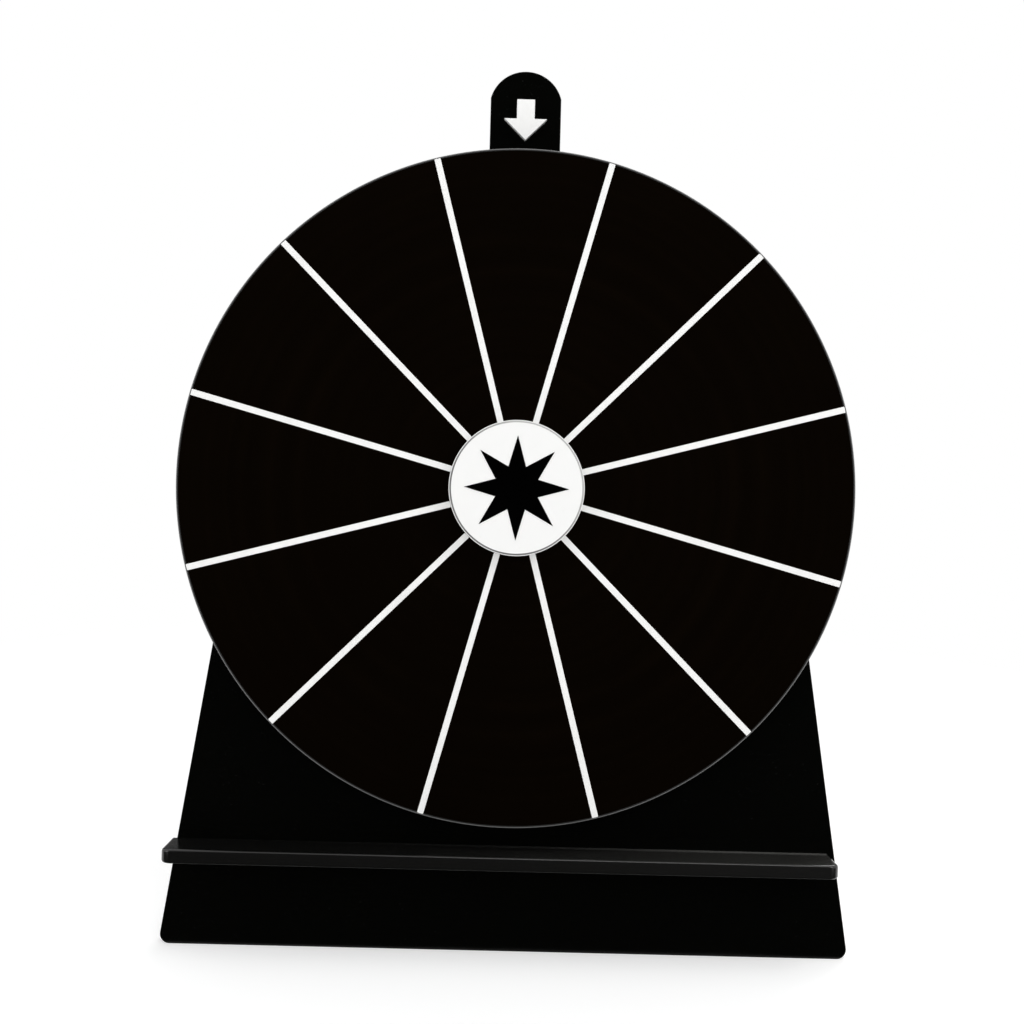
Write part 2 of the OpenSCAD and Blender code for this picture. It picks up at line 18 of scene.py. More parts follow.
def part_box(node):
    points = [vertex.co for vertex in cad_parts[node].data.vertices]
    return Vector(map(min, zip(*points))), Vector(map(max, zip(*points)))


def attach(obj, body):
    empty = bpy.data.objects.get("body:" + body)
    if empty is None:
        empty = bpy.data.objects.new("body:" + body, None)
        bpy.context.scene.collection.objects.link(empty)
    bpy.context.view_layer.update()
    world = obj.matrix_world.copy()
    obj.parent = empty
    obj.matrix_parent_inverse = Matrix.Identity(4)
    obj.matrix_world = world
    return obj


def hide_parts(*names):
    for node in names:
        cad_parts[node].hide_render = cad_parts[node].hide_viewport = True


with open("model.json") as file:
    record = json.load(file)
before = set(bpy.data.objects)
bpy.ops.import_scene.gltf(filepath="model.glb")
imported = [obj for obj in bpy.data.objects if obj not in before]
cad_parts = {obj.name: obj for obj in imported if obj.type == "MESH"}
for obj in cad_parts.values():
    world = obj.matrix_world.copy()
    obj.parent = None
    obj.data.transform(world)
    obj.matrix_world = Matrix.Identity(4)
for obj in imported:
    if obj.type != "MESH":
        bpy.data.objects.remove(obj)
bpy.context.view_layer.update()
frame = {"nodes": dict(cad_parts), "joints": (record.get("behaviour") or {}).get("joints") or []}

LOG = logging.getLogger("prize_wheel")
MM = 0.001
MERGE_GAP = 1e-6
SHARP_ANGLE = math.radians(34)
SMOOTH_ANGLE = math.radians(50)
FACE_WEIGHT = 80
UP = Vector((0.0, 0.0, 1.0))
Piece = bpy.types.Object
Socket = bpy.types.NodeSocket
Pair = tuple[float, float]
Triple = tuple[float, float, float]
Color = Triple
Inputs = dict[str | int, object]
MIDDLE: Pair = (0.3, 0.7)
WHOLE: Pair = (0.0, 1.0)


class Kind(Enum):
    """What an edit-mode selection holds."""

    CORNER = "VERT"
    EDGE = "EDGE"


class Sheet(Enum):
    """The plane that an outline is drawn in: flat on the board, or as a profile to be turned."""

    FLAT = "flat"
    PROFILE = "profile"


class Facet(Enum):
    """The largest angle of one facet of an arc, in degrees."""

    ARCH = 1.5
    CROWN = 3.0
    CORNER = 6.0
    ROLL = 15.0


class Step(Enum):
    """What one shape does to another."""

    DRILL = "DIFFERENCE"
    TURN_OFF = "INTERSECT"
    JOIN = "UNION"


class Part(Enum):
    """The bodies that carry new pieces."""

    STAND = "stand"
    WHEEL = "wheel"
    LEG = "leg"


class Bench:
    """Steps that every piece is made with."""

    @staticmethod
    def clear() -> None:
        """Go back to object mode with nothing selected."""
        active = bpy.context.view_layer.objects.active
        if active is not None and active.mode != "OBJECT":
            bpy.ops.object.mode_set(mode="OBJECT")
        bpy.ops.object.select_all(action="DESELECT")

    @staticmethod
    def only(piece: Piece) -> None:
        """Select one piece alone and make it active."""
        Bench.clear()
        piece.select_set(True)
        bpy.context.view_layer.objects.active = piece

    @staticmethod
    def label(name: str) -> Piece:
        """Name the piece that was just added, and its mesh.

        Args:
            name: The piece's name.

        Returns:
            The piece.
        """
        piece = bpy.context.view_layer.objects.active
        piece.name = name
        piece.data.name = name
        return piece

    @staticmethod
    def settle(name: str) -> Piece:
        """Name the piece that was just added, and keep its place and size in its mesh.

        Args:
            name: The piece's name.

        Returns:
            The piece.
        """
        piece = Bench.label(name)
        bpy.ops.object.transform_apply(location=True, rotation=True, scale=True)
        return piece

    @staticmethod
    def block(name: str, middle: Sequence[float], size: Sequence[float]) -> Piece:
        """Add a block to be shaped.

        Args:
            name: The piece's name.
            middle: The block's middle.
            size: Its size along each axis.

        Returns:
            The block.
        """
        Bench.clear()
        bpy.ops.mesh.primitive_cube_add(size=1.0, location=middle, scale=size)
        return Bench.settle(name)

    @staticmethod
    def edit(piece: Piece) -> None:
        """Open a piece in edit mode, with all of it selected."""
        Bench.only(piece)
        bpy.ops.object.mode_set(mode="EDIT")
        bpy.ops.mesh.select_all(action="SELECT")

    @staticmethod
    def pick(kind: Kind, test: Callable[..., bool]) -> None:
        """Select the corners or edges that pass a test.

        Args:
            kind: What is selected.
            test: Takes a corner's place, or an edge's two ends.
        """
        bpy.ops.mesh.select_mode(type=kind.value)
        bpy.ops.mesh.select_all(action="DESELECT")
        mesh = bpy.context.view_layer.objects.active.data
        shape = bmesh.from_edit_mesh(mesh)
        if kind is Kind.CORNER:
            chosen = [v for v in shape.verts if test(v.co)]
        else:
            chosen = [e for e in shape.edges if test(e.verts[0].co, e.verts[1].co)]
        for element in chosen:
            element.select_set(True)
        shape.select_flush_mode()
        bmesh.update_edit_mesh(mesh)

    @staticmethod
    def extrude(x: float = 0.0, y: float = 0.0, z: float = 0.0) -> None:
        """Extrude what is selected by a step."""
        bpy.ops.mesh.extrude_region_move(TRANSFORM_OT_translate={"value": (x, y, z)})

    @staticmethod
    def close_up(piece: Piece) -> None:
        """Merge a piece's double corners and turn its faces outwards."""
        Bench.edit(piece)
        bpy.ops.mesh.remove_doubles(threshold=MERGE_GAP)
        bpy.ops.mesh.normals_make_consistent(inside=False)
        Bench.clear()

    @staticmethod
    def trim(piece: Piece, point: Vector, keep: Vector) -> None:
        """Saw a piece along a plane and close the cut.

        Args:
            piece: The piece.
            point: A point of the plane.
            keep: The plane's normal, towards the side that is kept.
        """
        Bench.edit(piece)
        cut = {"plane_co": point, "plane_no": keep, "threshold": MERGE_GAP}
        bpy.ops.mesh.bisect(**cut, use_fill=True, clear_inner=True)
        Bench.close_up(piece)

    @staticmethod
    def apply(piece: Piece, kind: str, **settings: object) -> None:
        """Add a modifier to a piece and apply it.

        Args:
            piece: The piece.
            kind: The modifier's type.
            settings: The modifier's settings.
        """
        Bench.only(piece)
        modifier = piece.modifiers.new(kind.lower(), kind)
        for name, value in settings.items():
            setattr(modifier, name, value)
        bpy.ops.object.modifier_apply(modifier=modifier.name)

    @staticmethod
    def work(piece: Piece, tool: Piece, step: Step) -> None:
        """Cut a piece with another shape or join them, and throw the other shape away.

        Args:
            piece: The piece.
            tool: The other shape.
            step: What is done.
        """
        Bench.apply(piece, "BOOLEAN", operation=step.value, solver="EXACT", object=tool)
        bpy.data.objects.remove(tool)

    @staticmethod
    def ease(piece: Piece, width: float, segments: int) -> None:
        """Round a piece's sharp edges a little and give it clean shading.

        Args:
            piece: The piece.
            width: How wide the rounding is.
            segments: How many facets it has.
        """
        if width:
            limit = {"limit_method": "ANGLE", "angle_limit": SHARP_ANGLE}
            Bench.apply(piece, "BEVEL", width=width, segments=segments, **limit)
        Bench.only(piece)
        bpy.ops.object.shade_smooth_by_angle(angle=SMOOTH_ANGLE)
        Bench.apply(piece, "WEIGHTED_NORMAL", keep_sharp=True, weight=FACE_WEIGHT)

    @staticmethod
    def put(piece: Piece, place: Matrix) -> Piece:
        """Stand a piece in its place, and keep that place in its mesh.

        Args:
            piece: The piece, drawn about the origin.
            place: The frame it was drawn in.

        Returns:
            The piece.
        """
        piece.matrix_world = place
        Bench.only(piece)
        bpy.ops.object.transform_apply(location=True, rotation=True, scale=True)
        return piece

    @staticmethod
    def twin(piece: Piece, name: str) -> Piece:
        """Copy a piece, with a mesh of its own.

        Args:
            piece: The piece.
            name: The copy's name.

        Returns:
            The copy.
        """
        Bench.only(piece)
        bpy.ops.object.duplicate(linked=False)
        return Bench.label(name)


class Outline:
    """A line drawn from corner to corner with extrude and spin, then filled or turned."""

    def __init__(self, name: str, start: Sequence[float], sheet: Sheet = Sheet.FLAT) -> None:
        """Set the first corner.

        Args:
            name: The piece's name.
            start: The first corner.
            sheet: The plane that the line is drawn in.
        """
        self.sheet = sheet
        self.tip = Vector((0.0, 0.0))
        Bench.clear()
        bpy.ops.mesh.primitive_plane_add(size=MM)
        self.piece = Bench.label(name)
        Bench.edit(self.piece)
        bpy.ops.mesh.select_mode(type=Kind.CORNER.value)
        bpy.ops.mesh.merge(type="CENTER")
        bpy.ops.transform.translate(value=self._point(start))
        self.tip = Vector(start)

    def _point(self, corner: Sequence[float]) -> tuple[float, float, float]:
        """Give a corner of the drawing in space."""
        if self.sheet is Sheet.FLAT:
            return corner[0], corner[1], 0.0
        return corner[0], 0.0, corner[1]

    def line(self, *corners: Sequence[float]) -> None:
        """Draw straight to each corner in turn."""
        for corner in corners:
            step = Vector(corner) - self.tip
            Bench.extrude(*self._point(step))
            self.tip = Vector(corner)

    def arc(self, middle: Sequence[float], degrees: float, facet: Facet) -> None:
        """Draw an arc on from the last corner.

        Args:
            middle: The arc's middle.
            degrees: How far it turns, anticlockwise on the drawing.
            facet: How fine its facets are.
        """
        facets = max(2, math.ceil(abs(degrees) / facet.value))
        turn = math.radians(degrees)
        axis = (0.0, 0.0, -1.0) if self.sheet is Sheet.FLAT else (0.0, 1.0, 0.0)
        bpy.ops.mesh.spin(steps=facets, angle=turn, center=self._point(middle), axis=axis)
        self.tip = Vector(middle) + Matrix.Rotation(turn, 2) @ (self.tip - Vector(middle))

    def plate(self, back: float, front: float) -> Piece:
        """Mirror the right half, fill it and give it thickness.

        Args:
            back: The back of the plate, forward from the drawing.
            front: The front of the plate.

        Returns:
            The piece.
        """
        bpy.ops.mesh.select_all(action="SELECT")
        bpy.ops.mesh.duplicate()
        bpy.ops.transform.resize(value=(-1.0, 1.0, 1.0), center_override=(0.0, 0.0, 0.0))
        bpy.ops.mesh.select_all(action="SELECT")
        bpy.ops.mesh.remove_doubles(threshold=MERGE_GAP)
        bpy.ops.mesh.edge_face_add()
        bpy.ops.transform.translate(value=(0.0, 0.0, back))
        Bench.extrude(z=front - back)
        Bench.close_up(self.piece)
        return self.piece

    def turn(self, facets: int) -> Piece:
        """Turn the profile all the way round.

        Args:
            facets: How many facets the round has.

        Returns:
            The piece.
        """
        bpy.ops.mesh.select_all(action="SELECT")
        bpy.ops.mesh.spin(steps=facets, angle=2 * math.pi, center=(0.0, 0.0, 0.0), axis=(0.0, 0.0, 1.0))
        Bench.close_up(self.piece)
        return self.piece


def upright(origin: Vector, tip: float) -> Matrix:
    """Give a frame that stands up and is tipped forward about the x axis.

    Args:
        origin: The frame's origin.
        tip: How far it is tipped forward, in radians.

    Returns:
        The frame: x across, y up, z forward.
    """
    up = Vector((0.0, -math.sin(tip), math.cos(tip)))
    forward = Vector((0.0, -math.cos(tip), -math.sin(tip)))
    across = Vector((1.0, 0.0, 0.0))
    place = Matrix((across, up, forward)).transposed().to_4x4()
    place.translation = origin
    return place


@dataclass(frozen=True)
class Stance:
    """How the leaning board, its axle and the leg's hinge stand."""

    foot: Vector
    lean: float
    axle_up: float
    hinge: Vector
    leg_open: float

    @classmethod
    def from_frame(cls) -> "Stance":
        """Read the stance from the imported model."""
        joints = {joint["name"]: joint for joint in frame["joints"]}
        forward = Vector(joints["wheel_spin"]["axis"])
        foot = Vector((0.0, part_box("back_panel")[0].y, 0.0))
        up = Vector((0.0, forward.z, -forward.y))
        return cls(
            foot=foot,
            lean=math.atan2(forward.z, -forward.y),
            axle_up=(Vector(joints["wheel_spin"]["pos_m"]) - foot).dot(up),
            hinge=Vector(joints["leg_fold"]["pos_m"]),
            leg_open=math.radians(-joints["leg_fold"]["range_deg"][0]),
        )

    def board(self) -> Matrix:
        """Give the board's frame, at its foot."""
        return upright(self.foot, -self.lean)

    def axle(self) -> Matrix:
        """Give the axle's frame, at the board's front."""
        return self.board() @ Matrix.Translation((0.0, self.axle_up, 0.0))

    def at_hinge(self) -> Matrix:
        """Give the board's frame, at the hinge's axis."""
        return upright(self.hinge, -self.lean)

    def leg(self) -> Matrix:
        """Give the open leg's frame, at the hinge's axis."""
        return upright(self.hinge, self.leg_open - self.lean)


@dataclass(frozen=True)
class Clouds:
    """A cloudy pattern: how many clouds a metre has, its finer layers, and how strong these are."""

    scale: float
    layers: float = 2.0
    rough: float = 0.5


class Graph:
    """A material's nodes, added one by one."""

    def __init__(self, name: str) -> None:
        """Start a material with one shader and its output."""
        self.material = bpy.data.materials.new(name)
        self.material.use_nodes = True
        self.tree = self.material.node_tree
        self.tree.nodes.clear()
        self.shader = self.tree.nodes.new("ShaderNodeBsdfPrincipled")
        self.output = self.tree.nodes.new("ShaderNodeOutputMaterial")
        self.tree.links.new(self.shader.outputs["BSDF"], self.output.inputs["Surface"])

    def add(self, kind: str, inputs: Inputs | None = None, **settings: object) -> bpy.types.Node:
        """Add a node.

        Args:
            kind: The node's type, without its common beginning.
            inputs: Values or sockets for the node's inputs.
            settings: The node's other settings.

        Returns:
            The node.
        """
        node = self.tree.nodes.new("ShaderNode" + kind)
        for name, value in settings.items():
            setattr(node, name, value)
        for name, value in (inputs or {}).items():
            if isinstance(value, bpy.types.NodeSocket):
                self.tree.links.new(value, node.inputs[name])
            else:
                node.inputs[name].default_value = value
        return node

    def set(self, **values: float | Color) -> None:
        """Set the shader's own constants, by socket names with spaces as underscores."""
        for name, value in values.items():
            socket = self.shader.inputs[name.replace("_", " ")]
            socket.default_value = (*value, 1.0) if isinstance(value, tuple) else value

    def link(self, socket: Socket, name: str) -> None:
        """Link a socket to one of the shader's inputs."""
        self.tree.links.new(socket, self.shader.inputs[name])

    def place(self, frame_of: Matrix | None = None, stretch: Triple = (1.0, 1.0, 1.0)) -> Socket:
        """Give object coordinates, in a frame and stretched along its axes.

        Args:
            frame_of: The frame that the pattern is centred on.
            stretch: How much finer the pattern is along each axis.

        Returns:
            The coordinates.
        """
        spot = self.add("TexCoord").outputs["Object"]
        if frame_of is not None:
            inputs = {"Vector": spot, "Location": frame_of.translation, "Rotation": frame_of.to_euler()}
            spot = self.add("Mapping", inputs, vector_type="TEXTURE").outputs["Vector"]
        if stretch != (1.0, 1.0, 1.0):
            spot = self.add("Mapping", {"Vector": spot, "Scale": stretch}).outputs["Vector"]
        return spot

    def radius(self, frame_of: Matrix) -> Socket:
        """Give the distance from a frame's forward axis."""
        spot = self.place(frame_of, (1.0, 1.0, 0.0))
        return self.add("VectorMath", {0: spot}, operation="LENGTH").outputs["Value"]

    def axes(self, frame_of: Matrix) -> bpy.types.bpy_prop_collection:
        """Give the distances along a frame's axes, as the outputs X, Y and Z."""
        return self.add("SeparateXYZ", {"Vector": self.place(frame_of)}).outputs

    def noise(self, spot: Socket, clouds: Clouds) -> Socket:
        """Give a cloudy pattern, from 0 to 1."""
        inputs = {"Vector": spot, "Scale": clouds.scale, "Detail": clouds.layers, "Roughness": clouds.rough}
        return self.add("TexNoise", inputs).outputs["Fac"]

    def cells(self, spot: Socket, scale: float) -> bpy.types.bpy_prop_collection:
        """Give a pattern of cells, so many to a metre, as the outputs Distance and Color."""
        return self.add("TexVoronoi", {"Vector": spot, "Scale": scale}).outputs

    def rings(self, radius: Socket, pitch: float, layers: float = 3.0) -> Socket:
        """Give uneven rings about an axis.

        Args:
            radius: The distance from the axis.
            pitch: The width of about one ring.
            layers: How many finer layers it has.

        Returns:
            The pattern, from 0 to 1.
        """
        inputs = {"W": radius, "Scale": 1.0 / pitch, "Detail": layers}
        return self.add("TexNoise", inputs, noise_dimensions="1D").outputs["Fac"]

    def span(self, value: Socket, low: float, high: float, part: Pair = MIDDLE) -> Socket:
        """Stretch part of a pattern over a range.

        Args:
            value: The pattern.
            low: The value at the start.
            high: The value at the end.
            part: Where in the pattern the range starts and ends.

        Returns:
            The stretched pattern.
        """
        inputs = {"Value": value, "From Min": part[0], "From Max": part[1], "To Min": low, "To Max": high}
        return self.add("MapRange", inputs).outputs["Result"]

    def mix(self, value: Socket, low: Color, high: Color, part: Pair = MIDDLE) -> Socket:
        """Blend two colours by a pattern.

        Args:
            value: The pattern.
            low: The colour at the start.
            high: The colour at the end.
            part: Where in the pattern the blend starts and ends.

        Returns:
            The colour.
        """
        node = self.add("ValToRGB", {"Fac": value})
        for element, position, color in zip(node.color_ramp.elements, part, (low, high)):
            element.position = position
            element.color = (*color, 1.0)
        return node.outputs["Color"]

    def blend(self, share: Socket, low: Socket, high: Color) -> Socket:
        """Blend a colour pattern into one colour.

        Args:
            share: How much of the one colour there is.
            low: The colour pattern.
            high: The one colour.

        Returns:
            The colour.
        """
        node = self.add("Mix", data_type="RGBA")
        sockets = {socket.identifier: socket for socket in node.inputs}
        self.tree.links.new(share, sockets["Factor_Float"])
        self.tree.links.new(low, sockets["A_Color"])
        sockets["B_Color"].default_value = (*high, 1.0)
        return next(socket for socket in node.outputs if socket.identifier == "Result_Color")

    def times(self, one: Socket, other: Socket) -> Socket:
        """Multiply two patterns."""
        return self.add("Math", {0: one, 1: other}, operation="MULTIPLY").outputs["Value"]

    def bump(self, *layers: tuple[Socket, float]) -> None:
        """Lay patterns over each other as relief.

        Args:
            layers: Patterns, each with its height in metres.
        """
        normal = None
        for height, depth in layers:
            inputs = {"Height": height, "Strength": 1.0, "Distance": depth}
            if normal is not None:
                inputs["Normal"] = normal
            normal = self.add("Bump", inputs).outputs["Normal"]
        self.link(normal, "Normal")


def tint(color: Color, share: float) -> Color:
    """Make a colour lighter or darker by a share."""
    return color[0] * share, color[1] * share, color[2] * share


@dataclass(frozen=True)
class Finish:
    """A surface: its colour, its gloss, and how much duller its pattern makes it."""

    name: str
    slot: str
    color: Color
    rough: float
    specular: float = 0.5
    metallic: float = 0.0
    duller: float = 0.1

    def material(self) -> bpy.types.Material:
        """Make the material once, and give it.

        Returns:
            The material.
        """
        found = bpy.data.materials.get(self.name)
        if found is not None:
            return found
        graph = Graph(self.name)
        graph.set(Specular_IOR_Level=self.specular, Metallic=self.metallic)
        self.paint(graph)
        return graph.material

    def paint(self, graph: Graph) -> None:
        """Add the pattern; each finish has its own."""
        raise NotImplementedError

    def roughen(self, graph: Graph, pattern: Socket, part: Pair = MIDDLE) -> None:
        """Make the surface duller by part of a pattern."""
        graph.link(graph.span(pattern, self.rough, self.rough + self.duller, part), "Roughness")

    def coat(self, piece: Piece) -> None:
        """Give a piece this finish all over."""
        piece.data.materials.clear()
        piece.data.materials.append(self.material())


@dataclass(frozen=True)
class PolishedSheet(Finish):
    """Cast gloss sheet: a faint ripple, hazy hand marks, and fine dust."""

    duller: float = 0.09
    hand_marks: Clouds = Clouds(11.0, 3.0, 0.55)
    ripple: Clouds = Clouds(45.0, 1.0)
    ripple_height: float = 0.02 * MM
    specks: Clouds = Clouds(1400.0, 1.0)
    speck_height: float = 0.002 * MM
    # Colour of the real dust in the specks.
    dust_and_shade: Color = (0.01, 0.01, 0.01)
    dusty: Pair = (0.70, 0.80)

    def paint(self, graph: Graph) -> None:
        """Add ripple, hand marks and dust."""
        spot = graph.place()
        specks = graph.noise(spot, self.specks)
        graph.link(self.tone(graph, specks), "Base Color")
        self.roughen(graph, graph.noise(spot, self.hand_marks))
        graph.bump((graph.noise(spot, self.ripple), self.ripple_height), (specks, self.speck_height))

    def tone(self, graph: Graph, specks: Socket) -> Socket:
        """Give the colour, with dust in the specks."""
        return graph.mix(specks, self.color, self.dust_and_shade, self.dusty)


@dataclass(frozen=True)
class DustAndPaintedLightShelf(PolishedSheet):
    """Gloss sheet laid flat: painted light that pales and hazes it towards the right end, with the wheel's
    painted shadow over the left and middle, patchy dust on top whose share follows the same painted light,
    and a painted highlight along the back of the top.
    """

    # Across the board: where the painted light ramp starts, in painted shadow, and where it is fully lit.
    ends: Pair = (-150.0 * MM, 130.0 * MM)
    top: Pair = (60.1 * MM, 60.4 * MM)
    # Forward from the board: the back band of the top that carries the painted highlight.
    back_highlight_band: Pair = (4.0 * MM, 8.0 * MM)
    patches: Clouds = Clouds(35.0, 4.0, 0.6)
    least_share: float = 0.75
    # Painted sheen colour towards the lit right end.
    painted_sheen: Color = (0.0068, 0.0068, 0.0064)
    # Dust film colour over the top; how much of it shows follows the painted light ramp.
    film: Color = (0.034, 0.034, 0.0315)
    # Painted highlight colour along the back of the top.
    back_highlight_color: Color = (0.15, 0.15, 0.143)

    def tone(self, graph: Graph, specks: Socket) -> Socket:
        """Give the colour: painted light paling towards the right end, patchy dust over the top, and a
        painted highlight along its back.

        Args:
            graph: The material's nodes.
            specks: The fine pattern of single specks.

        Returns:
            The colour.
        """
        spot = graph.axes(Stance.from_frame().board())
        patchy = graph.span(graph.noise(graph.place(), self.patches), self.least_share, 1.0)
        # Painted light: a ramp from the wheel's painted shadow at the left to the lit right end; thick is
        # its square.
        toward_light = graph.span(spot["X"], 0.0, 1.0, self.ends)
        upper = graph.span(spot["Y"], 0.0, 1.0, self.top)
        # The back band of the top, where the painted highlight is laid.
        behind = graph.span(spot["Z"], 1.0, 0.0, self.back_highlight_band)
        thick = graph.times(toward_light, toward_light)
        share = graph.times(graph.times(thick, patchy), upper)
        # Painted sheen towards the lit end, then the dust film, then the painted highlight at the back.
        with_sheen = graph.blend(thick, super().tone(graph, specks), self.painted_sheen)
        dusted_and_lit = graph.blend(share, with_sheen, self.film)
        return graph.blend(graph.times(share, behind), dusted_and_lit, self.back_highlight_color)


@dataclass(frozen=True)
class WipedFilm(Finish):
    """Satin writing film: cloudy wiping marks that run round the wheel's middle, and a fine tooth."""

    duller: float = 0.08
    duller_part: Pair = (0.1, 0.5)
    wipes: Clouds = Clouds(14.0, 4.0, 0.6)
    wipe_pitch: float = 9.0 * MM
    paler: float = 1.35
    paler_part: Pair = (0.2, 0.5)
    tooth: Clouds = Clouds(2200.0, 1.0)
    tooth_height: float = 0.004 * MM

    def paint(self, graph: Graph) -> None:
        """Add the wiping marks and the tooth."""
        axle = Stance.from_frame().axle()
        spot = graph.place(axle)
        rings = graph.rings(graph.radius(axle), self.wipe_pitch)
        marks = graph.times(graph.noise(spot, self.wipes), rings)
        pale = tint(self.color, self.paler)
        graph.link(graph.mix(marks, self.color, pale, self.paler_part), "Base Color")
        self.roughen(graph, marks, self.duller_part)
        graph.bump((graph.noise(spot, self.tooth), self.tooth_height))


@dataclass(frozen=True)
class Vinyl(Finish):
    """Cut film: an even face with a fine grain and a few rubbed spots."""

    rubs: Clouds = Clouds(60.0, 4.0, 0.65)
    rub: float = 0.9
    rub_part: Pair = (0.45, 0.75)
    grain: Clouds = Clouds(1800.0)
    grain_height: float = 0.004 * MM

    def paint(self, graph: Graph) -> None:
        """Add the grain and the rubbed spots."""
        spot = graph.place()
        rubbed = graph.noise(spot, self.rubs)
        graph.link(self.tone(graph, rubbed), "Base Color")
        self.roughen(graph, rubbed)
        graph.bump((graph.noise(spot, self.grain), self.grain_height))

    def tone(self, graph: Graph, rubbed: Socket) -> Socket:
        """Give the colour, changed where the film is rubbed."""
        return graph.mix(rubbed, self.color, tint(self.color, self.rub), self.rub_part)


@dataclass(frozen=True)
class PaleCornerStrip(Vinyl):
    """An edge strip with a pale line along its outer front corner."""

    pale: Color = (0.135, 0.135, 0.135)
    pale_radius: Pair = (189.8 * MM, 189.9 * MM)
    pale_front: Pair = (23.7 * MM, 23.8 * MM)

    def tone(self, graph: Graph, rubbed: Socket) -> Socket:
        """Give the colour, with the pale line on the corner.

        Args:
            graph: The material's nodes.
            rubbed: The cloudy pattern of the rubbed spots.

        Returns:
            The colour.
        """
        axle = Stance.from_frame().axle()
        outside = graph.span(graph.radius(axle), 0.0, 1.0, self.pale_radius)
        forward = graph.span(graph.axes(axle)["Z"], 0.0, 1.0, self.pale_front)
        # A pale colour band over the strip's outer front corner.
        return graph.blend(graph.times(outside, forward), super().tone(graph, rubbed), self.pale)


@dataclass(frozen=True)
class Moulded(Finish):
    """Moulded plastic: a fine spark grain, slow waves, and cloudy grime."""

    duller: float = 0.12
    stains: Clouds = Clouds(90.0, 5.0, 0.7)
    grime: Color = (0.7, 0.69, 0.66)
    grimy: Pair = (0.62, 0.95)
    grain: Clouds = Clouds(1500.0)
    grain_height: float = 0.006 * MM
    waves: Clouds = Clouds(40.0, 0.0)
    wave_height: float = 0.02 * MM

    def paint(self, graph: Graph) -> None:
        """Add the grain, the waves and the grime."""
        spot = graph.place()
        stain = graph.noise(spot, self.stains)
        graph.link(self.tone(graph, stain), "Base Color")
        self.roughen(graph, stain)
        grain = graph.noise(spot, self.grain)
        graph.bump((grain, self.grain_height), (graph.noise(spot, self.waves), self.wave_height))

    def tone(self, graph: Graph, stain: Socket) -> Socket:
        """Give the colour, dulled where the stain is strong."""
        return graph.mix(stain, self.color, self.grime, self.grimy)


@dataclass(frozen=True)
class GroovedCap(Moulded):
    """Moulded plastic with painted shade in a groove round the axle, darker at the lower left."""

    groove: float = 36.85 * MM
    groove_side: Pair = (0.4 * MM, 0.5 * MM)
    # Colour of the painted shade in the groove.
    dust_and_shade: Color = (0.22, 0.22, 0.22)
    # Where the painted shade is strongest, at the lower left, and weakest, towards the upper right.
    lower_left: Pair = (-20.0 * MM, 40.0 * MM)
    least_share: float = 0.35

    def tone(self, graph: Graph, stain: Socket) -> Socket:
        """Give the colour, with painted shade laid into the groove, strongest at the lower left.

        Args:
            graph: The material's nodes.
            stain: The cloudy pattern of the stain.

        Returns:
            The colour.
        """
        axle = Stance.from_frame().axle()
        off = graph.add("Math", {0: graph.radius(axle), 1: self.groove}, operation="SUBTRACT")
        away = graph.add("Math", {0: off.outputs["Value"]}, operation="ABSOLUTE")
        inside = graph.span(away.outputs["Value"], 1.0, 0.0, self.groove_side)
        # Painted shade: the groove is darkest at the lower left, as if lit from the upper right.
        corner = graph.add("VectorMath", {0: graph.place(axle), 1: (1.0, 1.0, 0.0)}, operation="DOT_PRODUCT")
        shade_side = graph.span(corner.outputs["Value"], 1.0, self.least_share, self.lower_left)
        return graph.blend(graph.times(inside, shade_side), super().tone(graph, stain), self.dust_and_shade)


@dataclass(frozen=True)
class FoamBoard(Finish):
    """Foamed board: a matte cloudy skin with small pits."""

    pits: float = 900.0
    pit_depth: float = 0.05 * MM
    skin: Clouds = Clouds(25.0, 4.0, 0.6)
    darker: float = 0.8
    paler: float = 1.3

    def paint(self, graph: Graph) -> None:
        """Add the skin and the pits."""
        spot = graph.place()
        skin = graph.noise(spot, self.skin)
        dark = tint(self.color, self.darker)
        graph.link(graph.mix(skin, dark, tint(self.color, self.paler)), "Base Color")
        self.roughen(graph, skin)
        graph.bump((graph.cells(spot, self.pits)["Distance"], self.pit_depth))


@dataclass(frozen=True)
class Plated(Finish):
    """Zinc-plated steel: cloudy crystals and a few dull spots."""

    duller: float = 0.08
    crystals: float = 700.0
    spots: Clouds = Clouds(160.0, 5.0, 0.7)
    spotted: Pair = (0.5, 0.85)
    dull: Color = (0.2, 0.2, 0.2)
    relief: Clouds = Clouds(1200.0, 3.0)
    relief_height: float = 0.003 * MM

    def paint(self, graph: Graph) -> None:
        """Add the crystals and the dull spots."""
        spot = graph.place()
        spots = graph.noise(spot, self.spots)
        graph.link(graph.mix(spots, self.color, self.dull, self.spotted), "Base Color")
        crystals = graph.add("RGBToBW", {"Color": graph.cells(spot, self.crystals)["Color"]})
        self.roughen(graph, crystals.outputs["Val"], WHOLE)
        graph.bump((graph.noise(spot, self.relief), self.relief_height))


@dataclass(frozen=True)
class Brushed(Finish):
    """Rolled and brushed steel: lines across, and a darker tarnish."""

    duller: float = 0.2
    lines: Clouds = Clouds(2600.0, 3.0, 0.6)
    line_stretch: Triple = (0.04, 1.0, 1.0)
    line_depth: float = 0.01 * MM
    spots: Clouds = Clouds(120.0, 5.0, 0.65)
    spotted: Pair = (0.5, 0.9)
    tarnish: Color = (0.24, 0.23, 0.22)

    def paint(self, graph: Graph) -> None:
        """Add the lines and the tarnish."""
        lines = graph.noise(graph.place(None, self.line_stretch), self.lines)
        spots = graph.noise(graph.place(), self.spots)
        graph.link(graph.mix(spots, self.color, self.tarnish, self.spotted), "Base Color")
        self.roughen(graph, lines)
        graph.bump((lines, self.line_depth))


